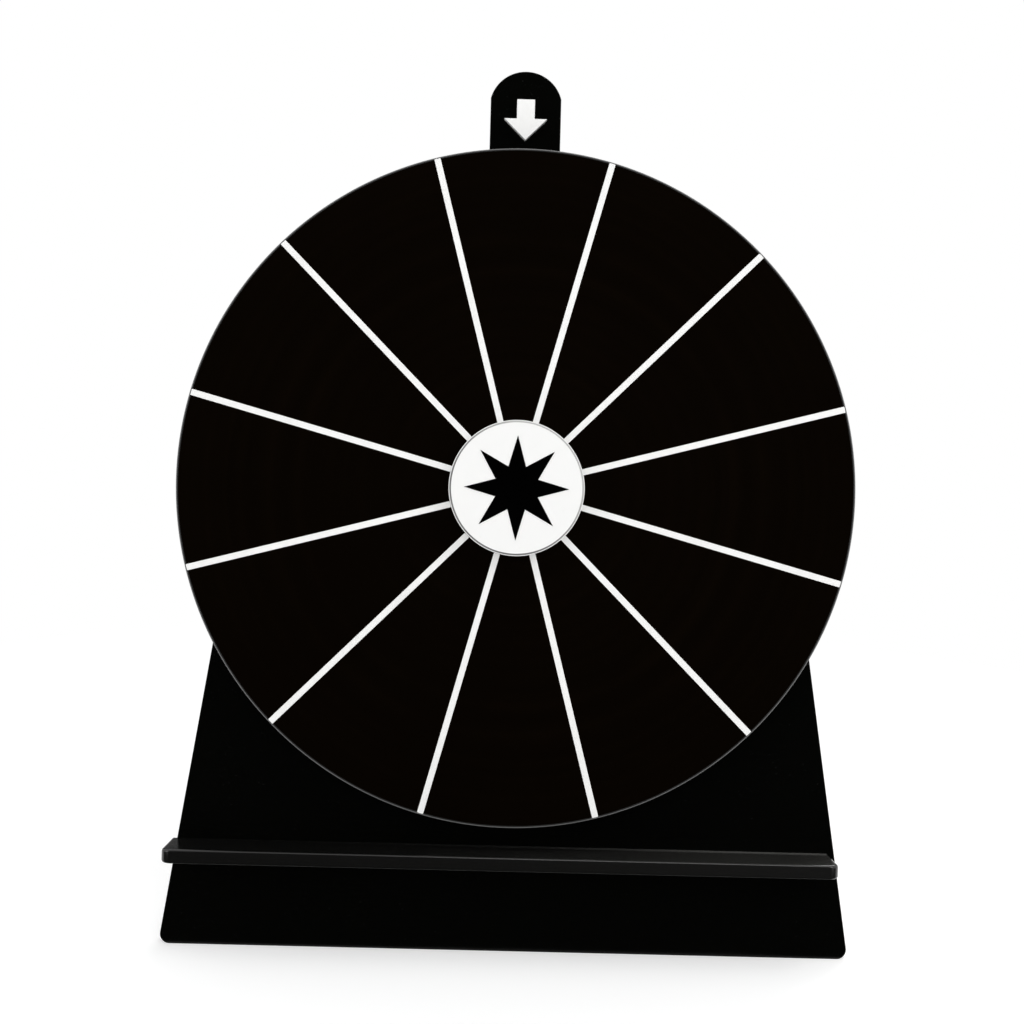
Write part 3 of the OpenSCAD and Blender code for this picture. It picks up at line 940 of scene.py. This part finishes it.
@dataclass(frozen=True)
class Turned(Finish):
    """Metal turned on a lathe: fine rings about the axle, and a slight clouding."""

    duller: float = 0.15
    pitch: float = 0.25 * MM
    ring_depth: float = 0.012 * MM
    skin: Clouds = Clouds(130.0, 4.0, 0.6)
    darker: float = 0.75

    def paint(self, graph: Graph) -> None:
        """Add the rings and the clouding."""
        rings = graph.rings(graph.radius(Stance.from_frame().axle()), self.pitch)
        skin = graph.noise(graph.place(), self.skin)
        graph.link(graph.mix(skin, self.color, tint(self.color, self.darker)), "Base Color")
        self.roughen(graph, rings)
        graph.bump((rings, self.ring_depth))


@dataclass(frozen=True)
class Speckled(Finish):
    """A matte surface with a fine speckle, as on black oxide, nylon and rubber."""

    duller: float = 0.12
    grain: Clouds = Clouds(1500.0, 3.0, 0.6)
    relief: float = 0.012 * MM
    wear: Clouds = Clouds(110.0, 5.0, 0.7)
    worn: Pair = (0.5, 0.8)
    speck: float = 1.6

    def paint(self, graph: Graph) -> None:
        """Add the wear, and the speckle with its relief."""
        spot = graph.place()
        grain = graph.noise(spot, self.grain)
        wear = graph.noise(spot, self.wear)
        graph.link(graph.mix(wear, self.color, tint(self.color, self.speck), self.worn), "Base Color")
        self.roughen(graph, grain)
        graph.bump((grain, self.relief))


GLOSS_BLACK = PolishedSheet("gloss_black_sheet", "gloss_black", (0.0011, 0.0012, 0.0009), 0.08, 0.2)
LEDGE_BLACK = DustAndPaintedLightShelf("gloss_black_ledge", "gloss_black", (0.0048, 0.0048, 0.0045), 0.12, 0.45)
FACE_FILM = WipedFilm("black_writing_film", "face_film", (0.0017, 0.0008, 0.00015), 0.42, 0.015)
WHITE_LINE = Vinyl("white_line_film", "white_vinyl", (0.82, 0.82, 0.81), 0.42, 0.4, rub=0.93)
STAR_FILM = Vinyl("black_star_film", "black_vinyl", (0.0002, 0.0002, 0.0002), 0.5, 0.012, rub=2.0)
WHITE_PLASTIC = Moulded("white_moulded_plastic", "white_plastic", (0.82, 0.82, 0.81), 0.34, 0.45)
WHITE_CAP = GroovedCap("white_cap_plastic", "white_plastic", (0.82, 0.82, 0.81), 0.34, 0.45)
GREY_TRIM = PaleCornerStrip("grey_edge_strip", "grey_trim", (0.014, 0.014, 0.014), 0.4, 0.3, rub=1.3)
WHEEL_CORE = FoamBoard("black_foam_board", "wheel_core", (0.012, 0.012, 0.012), 0.55, 0.3)
ZINC = Plated("bright_zinc", "zinc_steel", (0.36, 0.37, 0.39), 0.22, metallic=1.0)
DULL_ZINC = Plated(
    "dull_zinc", "zinc_steel", (0.15, 0.15, 0.155), 0.38, metallic=1.0, dull=(0.09, 0.09, 0.09)
)
HINGE_STEEL = Brushed("brushed_hinge_steel", "hinge_steel", (0.5, 0.5, 0.5), 0.26, metallic=1.0)
BEARING_STEEL = Turned(
    "polished_bearing_steel", "bearing_steel", (0.62, 0.63, 0.65), 0.12, metallic=1.0, pitch=0.12 * MM
)
ALUMINIUM = Turned("turned_aluminium", "turned_aluminium", (0.68, 0.69, 0.7), 0.22, metallic=1.0)
BLACK_OXIDE = Speckled("black_oxide", "black_steel", (0.02, 0.02, 0.021), 0.38, metallic=0.4)
NYLON = Speckled("natural_nylon", "nylon", (0.74, 0.7, 0.6), 0.45, 0.4, speck=0.88)
RUBBER = Speckled("black_rubber", "rubber", (0.014, 0.014, 0.014), 0.72, 0.3, speck=2.0, relief=0.03 * MM)

FINISHED_NODES: dict[Finish, tuple[str, ...]] = {
    WHEEL_CORE: ("wheel_board",),
    ALUMINIUM: ("bearing_housing",),
    NYLON: ("ball_cages",),
    RUBBER: ("leg_foot_pad",),
    BLACK_OXIDE: ("ledge_screws", "hinge_panel_screws", "hinge_leg_screws"),
    HINGE_STEEL: ("hinge_panel_leaf", "hinge_leg_leaf", "hinge_pin"),
    BEARING_STEEL: ("bearing_inner_races", "bearing_outer_races", "bearing_shields", "bearing_balls"),
    ZINC: ("axle_clamp_nut", "axle_sleeve", "axle_lock_nut", "bearing_spacer", "hub_bolts", "hub_nuts"),
    DULL_ZINC: ("axle_front_washer", "axle_end_washer"),
}


def finish_piece(
    piece: Piece, part: Part, finish: Finish, node: str, edge: float = 0.0, segments: int = 2
) -> None:
    """Ease a piece's edges, dress it, set it on its body and let it stand for a CAD node.

    Args:
        piece: The piece.
        part: The body that carries it.
        finish: Its finish.
        node: The node it stands for.
        edge: How wide its edges are rounded.
        segments: How many facets the rounding has.
    """
    Bench.ease(piece, edge, segments)
    finish.coat(piece)
    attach(piece, part.value)
    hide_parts(node)
    LOG.info("%s: %d faces on %s", piece.name, len(piece.data.polygons), part.value)


@dataclass(frozen=True)
class ScrewHole:
    """A countersunk hole, drawn downwards from the face that it opens in."""

    diameter: float
    head: float
    depth: float
    clear: float = 0.05 * MM
    above: float = 1.0 * MM
    facets: int = 32

    def cutter(self, place: Matrix) -> Piece:
        """Turn the shape of the hole.

        Args:
            place: The frame of the hole, with z out of the face.

        Returns:
            The cutter.
        """
        shank = self.diameter / 2 + self.clear
        mouth = self.head / 2 + self.clear + self.above
        line = Outline("hole", (0.0, self.above), Sheet.PROFILE)
        line.line((mouth, self.above), (shank, -(self.head - self.diameter) / 2))
        line.line((shank, -self.depth), (0.0, -self.depth))
        return Bench.put(line.turn(self.facets), place)


@dataclass
class HingeScrews:
    """The four screws of one hinge leaf."""

    place: Matrix
    side: int
    hole: ScrewHole = ScrewHole(3.0 * MM, 5.7 * MM, 6.55 * MM)
    offset: float = 1.2 * MM
    column: float = 36.0 * MM
    row: float = 9.0 * MM
    middle: float = -13.4 * MM

    def cutters(self) -> list[Piece]:
        """Make the cutters of the screws' holes.

        Returns:
            The cutters.
        """
        face = Matrix.Rotation(0.0 if self.side > 0 else math.pi, 4, "Y")
        found = []
        for x in (-self.column / 2, self.column / 2):
            for y in (-self.row / 2, self.row / 2):
                spot = Matrix.Translation((x, self.middle + y, -self.side * self.offset))
                found.append(self.hole.cutter(self.place @ spot @ face))
        return found


@dataclass
class BackBoard:
    """The leaning board: level foot, sloping sides, an arch about the axle, and the pointer tab."""

    stance: Stance
    thick: float = 8.0 * MM
    foot_width: float = 395.0 * MM
    side_angle: float = 8.8
    corner: float = 5.5 * MM
    tab_width: float = 40.4 * MM
    tab_top: float = 504.0 * MM
    tab_crown: float = 15.5 * MM
    neck: float = 12.0 * MM
    edge: float = 0.45 * MM
    axle_hole: float = 4.15 * MM
    axle_hole_facets: int = 48
    ledge_screws: int = 4
    ledge_screw: ScrewHole = ScrewHole(4.0 * MM, 8.0 * MM, 9.0 * MM)
    ledge_screw_up: float = 56.5 * MM
    ledge_screw_pitch: float = 95.0 * MM

    def draw(self) -> Outline:
        """Draw the right half of the board.

        Returns:
            The outline, open along the board's middle.
        """
        slope = math.radians(self.side_angle)
        up = self.stance.axle_up
        arch = (self.foot_width / 2 - up * math.tan(slope)) * math.cos(slope)
        corner_x = self.foot_width / 2 - self.corner * (1 + math.sin(slope)) / math.cos(slope)
        neck_x = self.tab_width / 2 + self.neck
        neck_y = up + math.sqrt((arch + self.neck) ** 2 - neck_x**2)
        neck_turn = math.degrees(math.atan2(neck_y - up, neck_x))
        crown = (self.tab_width**2 / 4 + self.tab_crown**2) / (2 * self.tab_crown)
        crown_turn = math.degrees(math.acos(1 - self.tab_crown / crown))
        line = Outline("back_board", (0.0, 0.0))
        line.line((corner_x, 0.0))
        line.arc((corner_x, self.corner), 90.0 + self.side_angle, Facet.CORNER)
        line.line((arch * math.cos(slope), up + arch * math.sin(slope)))
        line.arc((0.0, up), neck_turn - self.side_angle, Facet.ARCH)
        line.arc((neck_x, neck_y), -neck_turn, Facet.CORNER)
        line.line((self.tab_width / 2, self.tab_top - self.tab_crown))
        line.arc((0.0, self.tab_top - crown), crown_turn, Facet.CROWN)
        return line

    def holes(self) -> list[Piece]:
        """Make the cutters of the axle's hole and of the screws' holes.

        Returns:
            The cutters.
        """
        rear = Matrix.Translation((0.0, 0.0, -self.thick)) @ Matrix.Rotation(math.pi, 4, "Y")
        cutters = []
        for i in range(self.ledge_screws):
            x = (i - (self.ledge_screws - 1) / 2) * self.ledge_screw_pitch
            spot = self.stance.board() @ Matrix.Translation((x, self.ledge_screw_up, 0.0))
            cutters.append(self.ledge_screw.cutter(spot @ rear))
        bore = Outline("hole", (0.0, MM), Sheet.PROFILE)
        bore.line((self.axle_hole, MM), (self.axle_hole, -self.thick - MM), (0.0, -self.thick - MM))
        cutters.append(Bench.put(bore.turn(self.axle_hole_facets), self.stance.axle()))
        return cutters + HingeScrews(self.stance.at_hinge(), -1).cutters()

    def dress(self) -> None:
        """Cut the board out, stand it up, level its foot, drill it and finish it."""
        board = self.draw().plate(-self.thick, 0.0)
        Bench.ease(board, self.edge, segments=3)
        Bench.put(board, self.stance.board())
        Bench.trim(board, Vector(), UP)
        for hole in self.holes():
            Bench.work(board, hole, Step.DRILL)
        finish_piece(board, Part.STAND, GLOSS_BLACK, "back_panel")


@dataclass
class Pointer:
    """The raised down arrow on the tab."""

    stance: Stance
    tip_up: float = 463.9 * MM
    shaft_width: float = 10.2 * MM
    shaft_length: float = 11.0 * MM
    head_width: float = 24.6 * MM
    head_length: float = 12.2 * MM
    thick: float = 5.0 * MM
    edge: float = 0.3 * MM

    def dress(self) -> None:
        """Cut the arrow out and finish it."""
        wing = self.tip_up + self.head_length
        line = Outline("pointer_arrow_plate", (0.0, self.tip_up))
        line.line((self.head_width / 2, wing), (self.shaft_width / 2, wing))
        line.line((self.shaft_width / 2, wing + self.shaft_length), (0.0, wing + self.shaft_length))
        arrow = Bench.put(line.plate(0.0, self.thick), self.stance.board())
        finish_piece(arrow, Part.STAND, WHITE_PLASTIC, "pointer_arrow", self.edge)


@dataclass
class Ledge:
    """The shelf below the wheel, with round front corners and rolled front edges."""

    stance: Stance
    width: float = 376.0 * MM
    shift: float = -3.4 * MM
    depth: float = 39.0 * MM
    thick: float = 8.0 * MM
    top_up: float = 60.5 * MM
    corner: float = 6.0 * MM
    corner_facets: int = 10
    edge: float = 1.6 * MM
    edge_facets: int = 4

    def dress(self) -> None:
        """Shape the ledge from a block and finish it."""
        middle = (self.shift, self.top_up - self.thick / 2, self.depth / 2)
        ledge = Bench.block("front_ledge", middle, (self.width, self.thick, self.depth))
        Bench.edit(ledge)
        front = self.depth - MERGE_GAP
        Bench.pick(Kind.EDGE, lambda a, b: min(a.z, b.z) > front and abs(a.x - b.x) < MERGE_GAP)
        bpy.ops.mesh.bevel(offset=self.corner, segments=self.corner_facets, affect="EDGES")
        Bench.pick(Kind.EDGE, lambda a, b: max(a.z, b.z) > MERGE_GAP and abs(a.y - b.y) < MERGE_GAP)
        bpy.ops.mesh.bevel(offset=self.edge, segments=self.edge_facets, affect="EDGES")
        Bench.put(ledge, self.stance.board())
        finish_piece(ledge, Part.STAND, LEDGE_BLACK, "marker_ledge")


@dataclass
class WheelFace:
    """The wheel's face: writing film, edge strip and divider lines."""

    stance: Stance
    hub_radius: float
    wheel_radius: float = 190.5 * MM
    facets: int = 288
    back: float = 18.0 * MM
    board_front: float = 24.0 * MM
    front: float = 24.4 * MM
    film_hole: float = 31.5 * MM
    film_edge: float = 0.1 * MM
    strip: float = 1.3 * MM
    strip_gap: float = 0.05 * MM
    slots: int = 12
    line_width: float = 3.5 * MM
    line_thick: float = 0.25 * MM
    line_gap: float = 0.3 * MM
    line_overlap: float = 0.5 * MM
    line_corner: float = 0.4 * MM
    line_edge: float = 0.06 * MM

    def film(self) -> None:
        """Turn the writing film, with a soft cut edge."""
        rim = self.wheel_radius - self.strip
        soft = self.film_edge
        line = Outline("writing_film", (self.film_hole, self.board_front), Sheet.PROFILE)
        line.line((rim, self.board_front), (rim, self.front - soft), (rim - soft, self.front))
        line.line((self.film_hole + soft, self.front), (self.film_hole, self.front - soft))
        line.line((self.film_hole, self.board_front))
        sheet = Bench.put(line.turn(self.facets), self.stance.axle())
        finish_piece(sheet, Part.WHEEL, FACE_FILM, "face_sheet")

    def edge_strip(self) -> None:
        """Turn the strip round the rim, with rolled edges."""
        outer = self.wheel_radius
        inner = outer - self.strip + self.strip_gap
        roll = self.strip / 2
        line = Outline("rim_edge_strip", (inner, self.back), Sheet.PROFILE)
        line.line((outer - roll, self.back))
        line.arc((outer - roll, self.back + roll), 90.0, Facet.ROLL)
        line.line((outer, self.front - roll))
        line.arc((outer - roll, self.front - roll), 90.0, Facet.ROLL)
        line.line((inner, self.front), (inner, self.back))
        strip = Bench.put(line.turn(self.facets), self.stance.axle())
        finish_piece(strip, Part.WHEEL, GREY_TRIM, "rim_band")

    def divider_lines(self) -> None:
        """Cut one divider line, and copy it for every slot; a slot's middle is at the top."""
        start = self.hub_radius + self.line_gap
        end = self.wheel_radius - self.strip + self.line_overlap
        middle = ((start + end) / 2, 0.0, self.front + self.line_thick / 2)
        first = Bench.block("divider_line_pattern", middle, (end - start, self.line_width, self.line_thick))
        Bench.edit(first)
        Bench.pick(Kind.EDGE, lambda a, b: abs(a.z - b.z) > MERGE_GAP)
        bpy.ops.mesh.bevel(offset=self.line_corner, segments=3, affect="EDGES")
        top = self.front + self.line_thick - MERGE_GAP
        Bench.pick(Kind.EDGE, lambda a, b: min(a.z, b.z) > top)
        bpy.ops.mesh.bevel(offset=self.line_edge, segments=1, affect="EDGES")
        Bench.clear()
        for i in range(self.slots):
            turn = math.radians(90.0 + (i + 0.5) * 360.0 / self.slots)
            line = Bench.twin(first, f"divider_line_{i + 1:02d}")
            Bench.put(line, self.stance.axle() @ Matrix.Rotation(turn, 4, "Z"))
            finish_piece(line, Part.WHEEL, WHITE_LINE, "divider_lines")
        bpy.data.objects.remove(first)

    def dress(self) -> None:
        """Build the film, the strip and the lines."""
        self.film()
        self.edge_strip()
        self.divider_lines()


@dataclass
class HubCap:
    """The white cap over the bearings, and the star on it."""

    stance: Stance
    radius: float = 37.75 * MM
    facets: int = 192
    wall: float = 3.0 * MM
    base: float = 24.4 * MM
    inside: float = 34.6 * MM
    front: float = 37.0 * MM
    edge: float = 0.4 * MM
    bead: float = 0.5 * MM
    groove_width: float = 0.8 * MM
    groove_depth: float = 0.7 * MM
    soft: float = 0.1 * MM
    collar_inner: float = 17.05 * MM
    collar_wall: float = 3.0 * MM
    collar_base: float = 24.05 * MM
    star_points: int = 8
    star_radius: float = 29.2 * MM
    star_valley: float = 12.8 * MM
    star_thick: float = 0.3 * MM
    star_edge: float = 0.06 * MM

    def cap(self) -> None:
        """Turn the cap: hollow, collar, side, bead, groove and front."""
        collar_outer = self.collar_inner + self.collar_wall
        line = Outline("hub_cap_shell", (0.0, self.inside), Sheet.PROFILE)
        line.line((self.collar_inner, self.inside), (self.collar_inner, self.collar_base))
        line.line((collar_outer, self.collar_base), (collar_outer, self.inside))
        line.line((self.radius - self.wall, self.inside), (self.radius - self.wall, self.base))
        line.line((self.radius, self.base), (self.radius, self.front - self.edge))
        line.arc((self.radius - self.edge, self.front - self.edge), 90.0, Facet.ROLL)
        groove_outer = self.radius - self.bead
        groove_inner = groove_outer - self.groove_width
        floor = self.front - self.groove_depth
        line.line((groove_outer, self.front), (groove_outer, floor))
        line.line((groove_inner, floor), (groove_inner, self.front), (0.0, self.front))
        cap = Bench.put(line.turn(self.facets), self.stance.axle())
        finish_piece(cap, Part.WHEEL, WHITE_CAP, "hub_cap", self.soft)

    def star(self) -> None:
        """Cut the star from a disc by pulling every second corner in."""
        count = 2 * self.star_points
        middle = (0.0, 0.0, self.front)
        Bench.clear()
        bpy.ops.mesh.primitive_circle_add(
            vertices=count, radius=self.star_radius, fill_type="NGON", location=middle
        )
        star = Bench.settle("hub_star_film")
        Bench.edit(star)
        step = 2 * math.pi / count
        Bench.pick(Kind.CORNER, lambda co: round(math.atan2(co.x, co.y) / step) % 2 == 1)
        pull = self.star_valley / self.star_radius
        bpy.ops.transform.resize(value=(pull, pull, 1.0), center_override=middle)
        bpy.ops.mesh.select_all(action="SELECT")
        Bench.extrude(z=self.star_thick)
        Bench.close_up(star)
        Bench.put(star, self.stance.axle())
        finish_piece(star, Part.WHEEL, STAR_FILM, "hub_star", self.star_edge, segments=1)

    def dress(self) -> None:
        """Build the cap and its star."""
        self.cap()
        self.star()


@dataclass
class AxleHead:
    """The axle's bolt, with the corners of its head turned off, and the large washer under the head."""

    stance: Stance
    facets: int = 96
    radius: float = 3.95 * MM
    end: float = 34.0 * MM
    point: float = 0.45 * MM
    flats: float = 13.0 * MM
    head: float = 5.3 * MM
    head_front: float = -9.6 * MM
    face_share: float = 0.95
    chamfer: float = 30.0
    soft: float = 0.12 * MM
    washer_radius: float = 15.0 * MM
    washer_hole: float = 4.0 * MM
    washer: float = 1.6 * MM
    punched: float = 0.45 * MM

    def turning(self, corner: float) -> Piece:
        """Turn the round shape that the head is left inside, with a facet's middle at each corner.

        Args:
            corner: The radius of the head's corners.

        Returns:
            The shape.
        """
        rear = self.head_front - self.head
        face = self.face_share * self.flats / 2
        outer = corner + MM
        slope = (outer - face) * math.tan(math.radians(self.chamfer))
        line = Outline("turning", (0.0, rear), Sheet.PROFILE)
        line.line((face, rear), (outer, rear + slope), (outer, self.head_front + MM))
        line.line((0.0, self.head_front + MM))
        return Bench.put(line.turn(self.facets), Matrix.Rotation(math.pi / self.facets, 4, "Z"))

    def shank(self) -> Piece:
        """Turn the shank, with a blunt point.

        Returns:
            The shank.
        """
        line = Outline("shank", (0.0, self.head_front - MM), Sheet.PROFILE)
        line.line((self.radius, self.head_front - MM), (self.radius, self.end - self.point))
        line.line((self.radius - self.point, self.end), (0.0, self.end))
        return line.turn(self.facets // 2)

    def bolt(self) -> None:
        """Cut the head from a hexagon, turn its corners off and set it on the shank."""
        corner = self.flats / math.sqrt(3.0)
        middle = (0.0, 0.0, self.head_front - self.head / 2)
        Bench.clear()
        bpy.ops.mesh.primitive_cylinder_add(vertices=6, radius=corner, depth=self.head, location=middle)
        bolt = Bench.settle("axle_bolt_turned")
        Bench.work(bolt, self.turning(corner), Step.TURN_OFF)
        Bench.work(bolt, self.shank(), Step.JOIN)
        Bench.put(bolt, self.stance.axle())
        finish_piece(bolt, Part.STAND, ZINC, "axle_bolt", self.soft)

    def load_washer(self) -> None:
        """Turn the washer behind the board, with the rolled edge that a punch leaves."""
        front = self.head_front + self.washer
        line = Outline("rear_load_washer", (self.washer_hole, front), Sheet.PROFILE)
        line.line((self.washer_radius, front), (self.washer_radius, self.head_front + self.punched))
        line.arc((self.washer_radius - self.punched, self.head_front + self.punched), -90.0, Facet.ROLL)
        line.line((self.washer_hole, self.head_front), (self.washer_hole, front))
        washer = Bench.put(line.turn(self.facets), self.stance.axle())
        finish_piece(washer, Part.STAND, DULL_ZINC, "axle_rear_washer")

    def dress(self) -> None:
        """Build the bolt and its washer."""
        self.bolt()
        self.load_washer()


@dataclass
class EaselLeg:
    """The folding leg behind the board, bevelled at its heel and cut level at its foot."""

    stance: Stance
    thick: float = 8.0 * MM
    top_width: float = 72.0 * MM
    foot_width: float = 120.0 * MM
    heel: float = 22.0 * MM
    corner: float = 8.0 * MM
    hinge_off: float = 2.7 * MM
    board_thick: float = 8.0 * MM
    pad: float = 3.0 * MM
    stop: float = 0.1 * MM
    edge: float = 0.45 * MM

    def draw(self) -> Outline:
        """Draw the right half of the leg, long enough to be cut level.

        Returns:
            The outline, open along the leg's middle.
        """
        tilt = self.stance.leg_open - self.stance.lean
        length = (self.stance.hinge.z + (self.hinge_off + self.thick) * math.sin(tilt)) / math.cos(tilt)
        flare = math.atan2((self.foot_width - self.top_width) / 2, self.heel + length)
        end = length + self.thick
        foot_x = self.top_width / 2 + (self.heel + end) * math.tan(flare)
        corner_x = self.top_width / 2 - self.corner * (1 - math.sin(flare)) / math.cos(flare)
        line = Outline("easel_leg_board", (0.0, self.heel))
        line.line((corner_x, self.heel))
        line.arc((corner_x, self.heel - self.corner), math.degrees(flare) - 90.0, Facet.CORNER)
        line.line((foot_x, -end), (0.0, -end))
        return line

    def dress(self) -> None:
        """Cut the leg out, stand it up, level its foot, bevel its heel, drill it and finish it."""
        leg = self.draw().plate(-self.hinge_off - self.thick, -self.hinge_off)
        Bench.ease(leg, self.edge, segments=3)
        Bench.put(leg, self.stance.leg())
        Bench.trim(leg, Vector((0.0, 0.0, self.pad)), UP)
        board = self.stance.board()
        back = -board.to_3x3().col[2]
        Bench.trim(leg, board.translation + back * (self.board_thick + self.stop), back)
        for hole in HingeScrews(self.stance.leg(), 1).cutters():
            Bench.work(leg, hole, Step.DRILL)
        finish_piece(leg, Part.LEG, GLOSS_BLACK, "easel_leg")


@dataclass
class Camera:
    """The photographer's place: nearly square to the wheel's face, a little to the left and rolled."""

    stance: Stance
    across: float = -15.52 * MM
    up: float = 251.66 * MM
    away: float = 1124.4 * MM
    pan: float = -0.7
    roll: float = 1.53
    focal_pixels: float = 1963.64
    image_pixels: int = 1024
    sensor: float = 36.0

    def place(self) -> None:
        """Set up the camera."""
        data = bpy.data.cameras.new("camera")
        data.sensor_width = self.sensor
        data.lens = self.focal_pixels / self.image_pixels * self.sensor
        camera = bpy.data.objects.new("camera", data)
        bpy.context.scene.collection.objects.link(camera)
        spot = Matrix.Translation((self.across, self.up, self.away))
        pan = Matrix.Rotation(math.radians(self.pan), 4, "Y")
        roll = Matrix.Rotation(math.radians(self.roll), 4, "Z")
        camera.matrix_world = self.stance.board() @ spot @ pan @ roll
        bpy.context.scene.camera = camera


@dataclass(frozen=True)
class Lamp:
    """One soft box."""

    name: str
    spot: Triple
    width: float
    height: float
    power: float
    mirrored: bool = True

    def hang(self, aim: Vector) -> None:
        """Hang the lamp and aim it.

        Args:
            aim: The point that it looks at.
        """
        data = bpy.data.lights.new(self.name, "AREA")
        data.shape = "RECTANGLE"
        data.size = self.width
        data.size_y = self.height
        data.energy = self.power
        lamp = bpy.data.objects.new(self.name, data)
        lamp.visible_glossy = self.mirrored
        bpy.context.scene.collection.objects.link(lamp)
        spot = Vector(self.spot)
        turn = (aim - spot).to_track_quat("-Z", "Y").to_matrix().to_4x4()
        lamp.matrix_world = Matrix.Translation(spot) @ turn


@dataclass
class Studio:
    """A pale floor, white surroundings, soft boxes, and dark cloths that only gloss surfaces mirror."""

    stance: Stance
    floor_size: float = 8.0
    floor_color: Color = (0.8, 0.8, 0.8)
    floor_rough: float = 0.9
    floor_glow: float = 0.37
    fade: Pair = (0.3, 0.8)
    fill: float = 0.55
    cloth_color: Color = (0.012, 0.012, 0.012)
    sweep_size: Pair = (3.6, 2.6)
    sweep_away: float = -1.8
    sweep_front: float = -0.05
    card_size: Pair = (1.6, 0.5)
    card_away: float = 0.9
    lamps: tuple[Lamp, ...] = (
        Lamp("top_strip", (0.4, -0.5, 1.5), 1.2, 0.16, 3.6),
        Lamp("key_box", (1.35, -1.1, 1.45), 0.9, 0.9, 8.0),
        Lamp("side_box", (-1.5, -0.7, 0.9), 0.8, 1.2, 5.0),
        Lamp("front_box", (0.0, -2.4, 0.9), 1.8, 1.4, 18.4, mirrored=False),
        Lamp("rear_box", (0.5, 1.5, 1.3), 1.2, 0.9, 12.0),
    )

    @staticmethod
    def seen_directly(tree: bpy.types.NodeTree) -> Socket:
        """Tell camera, glossy and transmission rays from the rest.

        Args:
            tree: The node tree that the test is added to.

        Returns:
            1 for those rays, 0 for the rest.
        """
        path = tree.nodes.new("ShaderNodeLightPath")
        found = path.outputs["Is Camera Ray"]
        for name in ("Is Glossy Ray", "Is Transmission Ray"):
            either = tree.nodes.new("ShaderNodeMath")
            either.operation = "MAXIMUM"
            tree.links.new(found, either.inputs[0])
            tree.links.new(path.outputs[name], either.inputs[1])
            found = either.outputs["Value"]
        return found

    def surroundings(self) -> None:
        """Make the world white where it is seen, and a soft fill where it lights."""
        world = bpy.data.worlds.new("studio")
        world.use_nodes = True
        tree = world.node_tree
        background = tree.nodes["Background"]
        background.inputs["Color"].default_value = (1.0, 1.0, 1.0, 1.0)
        strength = tree.nodes.new("ShaderNodeMapRange")
        strength.inputs["To Min"].default_value = self.fill
        strength.inputs["To Max"].default_value = 1.0
        tree.links.new(self.seen_directly(tree), strength.inputs["Value"])
        tree.links.new(strength.outputs["Result"], background.inputs["Strength"])
        bpy.context.scene.world = world

    def floor(self) -> None:
        """Lay the floor, which keeps the shadow near the object and fades into the white further out."""
        Bench.clear()
        bpy.ops.mesh.primitive_plane_add(size=self.floor_size)
        floor = Bench.label("studio_floor")
        graph = Graph("pale_floor")
        graph.set(Base_Color=self.floor_color, Roughness=self.floor_rough, Specular_IOR_Level=0.0)
        graph.set(Emission_Color=(1.0, 1.0, 1.0))
        seen = self.seen_directly(graph.tree)
        graph.link(graph.span(seen, 0.0, self.floor_glow, WHOLE), "Emission Strength")
        distance = graph.add("VectorMath", {0: graph.place()}, operation="LENGTH").outputs["Value"]
        far = graph.span(distance, 0.0, 1.0, self.fade)
        share = graph.times(seen, far)
        white = graph.add("Emission", {"Strength": 1.0}).outputs["Emission"]
        blend = graph.add("MixShader", {0: share, 1: graph.shader.outputs["BSDF"], 2: white})
        graph.tree.links.new(blend.outputs["Shader"], graph.output.inputs["Surface"])
        floor.data.materials.append(graph.material)

    def hang(self, name: str, size: Pair, away: float) -> Piece:
        """Hang a dark cloth across the view, down to the floor, that mirrored rays alone see.

        Args:
            name: The cloth's name.
            size: Its width and height.
            away: Where it hangs, along y.

        Returns:
            The cloth.
        """
        Bench.clear()
        middle = (0.0, away, size[1] / 2)
        bpy.ops.mesh.primitive_plane_add(size=1.0, location=middle, rotation=(math.pi / 2, 0.0, 0.0))
        bpy.context.view_layer.objects.active.scale = (*size, 1.0)
        cloth = Bench.settle(name)
        graph = Graph(name)
        graph.set(Base_Color=self.cloth_color, Roughness=1.0, Specular_IOR_Level=0.0)
        cloth.data.materials.append(graph.material)
        cloth.visible_camera = False
        cloth.visible_diffuse = False
        cloth.visible_transmission = False
        cloth.visible_shadow = False
        return cloth

    def cloths(self) -> None:
        """Hang a sweep in front, drawn out over the floor, and a low card behind the ledge's ends."""
        sweep = self.hang("dark_sweep", self.sweep_size, self.sweep_away)
        Bench.edit(sweep)
        Bench.pick(Kind.EDGE, lambda a, b: max(a.z, b.z) < MM)
        Bench.extrude(y=self.sweep_front - self.sweep_away, z=MM / 2)
        Bench.clear()
        self.hang("dark_card", self.card_size, self.card_away)

    def set_up(self) -> None:
        """Set up the whole studio."""
        bpy.context.scene.view_settings.view_transform = "Standard"
        self.surroundings()
        self.floor()
        self.cloths()
        aim = self.stance.axle().translation
        for lamp in self.lamps:
            lamp.hang(aim)


def dress_nodes() -> None:
    """Give the CAD nodes that stay in sight their finishes."""
    for finish, names in FINISHED_NODES.items():
        for name in names:
            node = frame["nodes"][name]
            node.data.materials.clear()
            node.data.materials.append(finish.material())
            LOG.info("%s: %s", name, finish.name)


def main() -> None:
    """Set up the camera, build and dress every piece, and set up the studio."""
    logging.basicConfig(level=logging.INFO, format="%(name)s %(message)s")
    stance = Stance.from_frame()
    Camera(stance).place()
    BackBoard(stance).dress()
    Pointer(stance).dress()
    Ledge(stance).dress()
    hub = HubCap(stance)
    WheelFace(stance, hub.radius).dress()
    hub.dress()
    AxleHead(stance).dress()
    EaselLeg(stance).dress()
    dress_nodes()
    Studio(stance).set_up()
    Bench.clear()


if __name__ == "__main__":
    main()
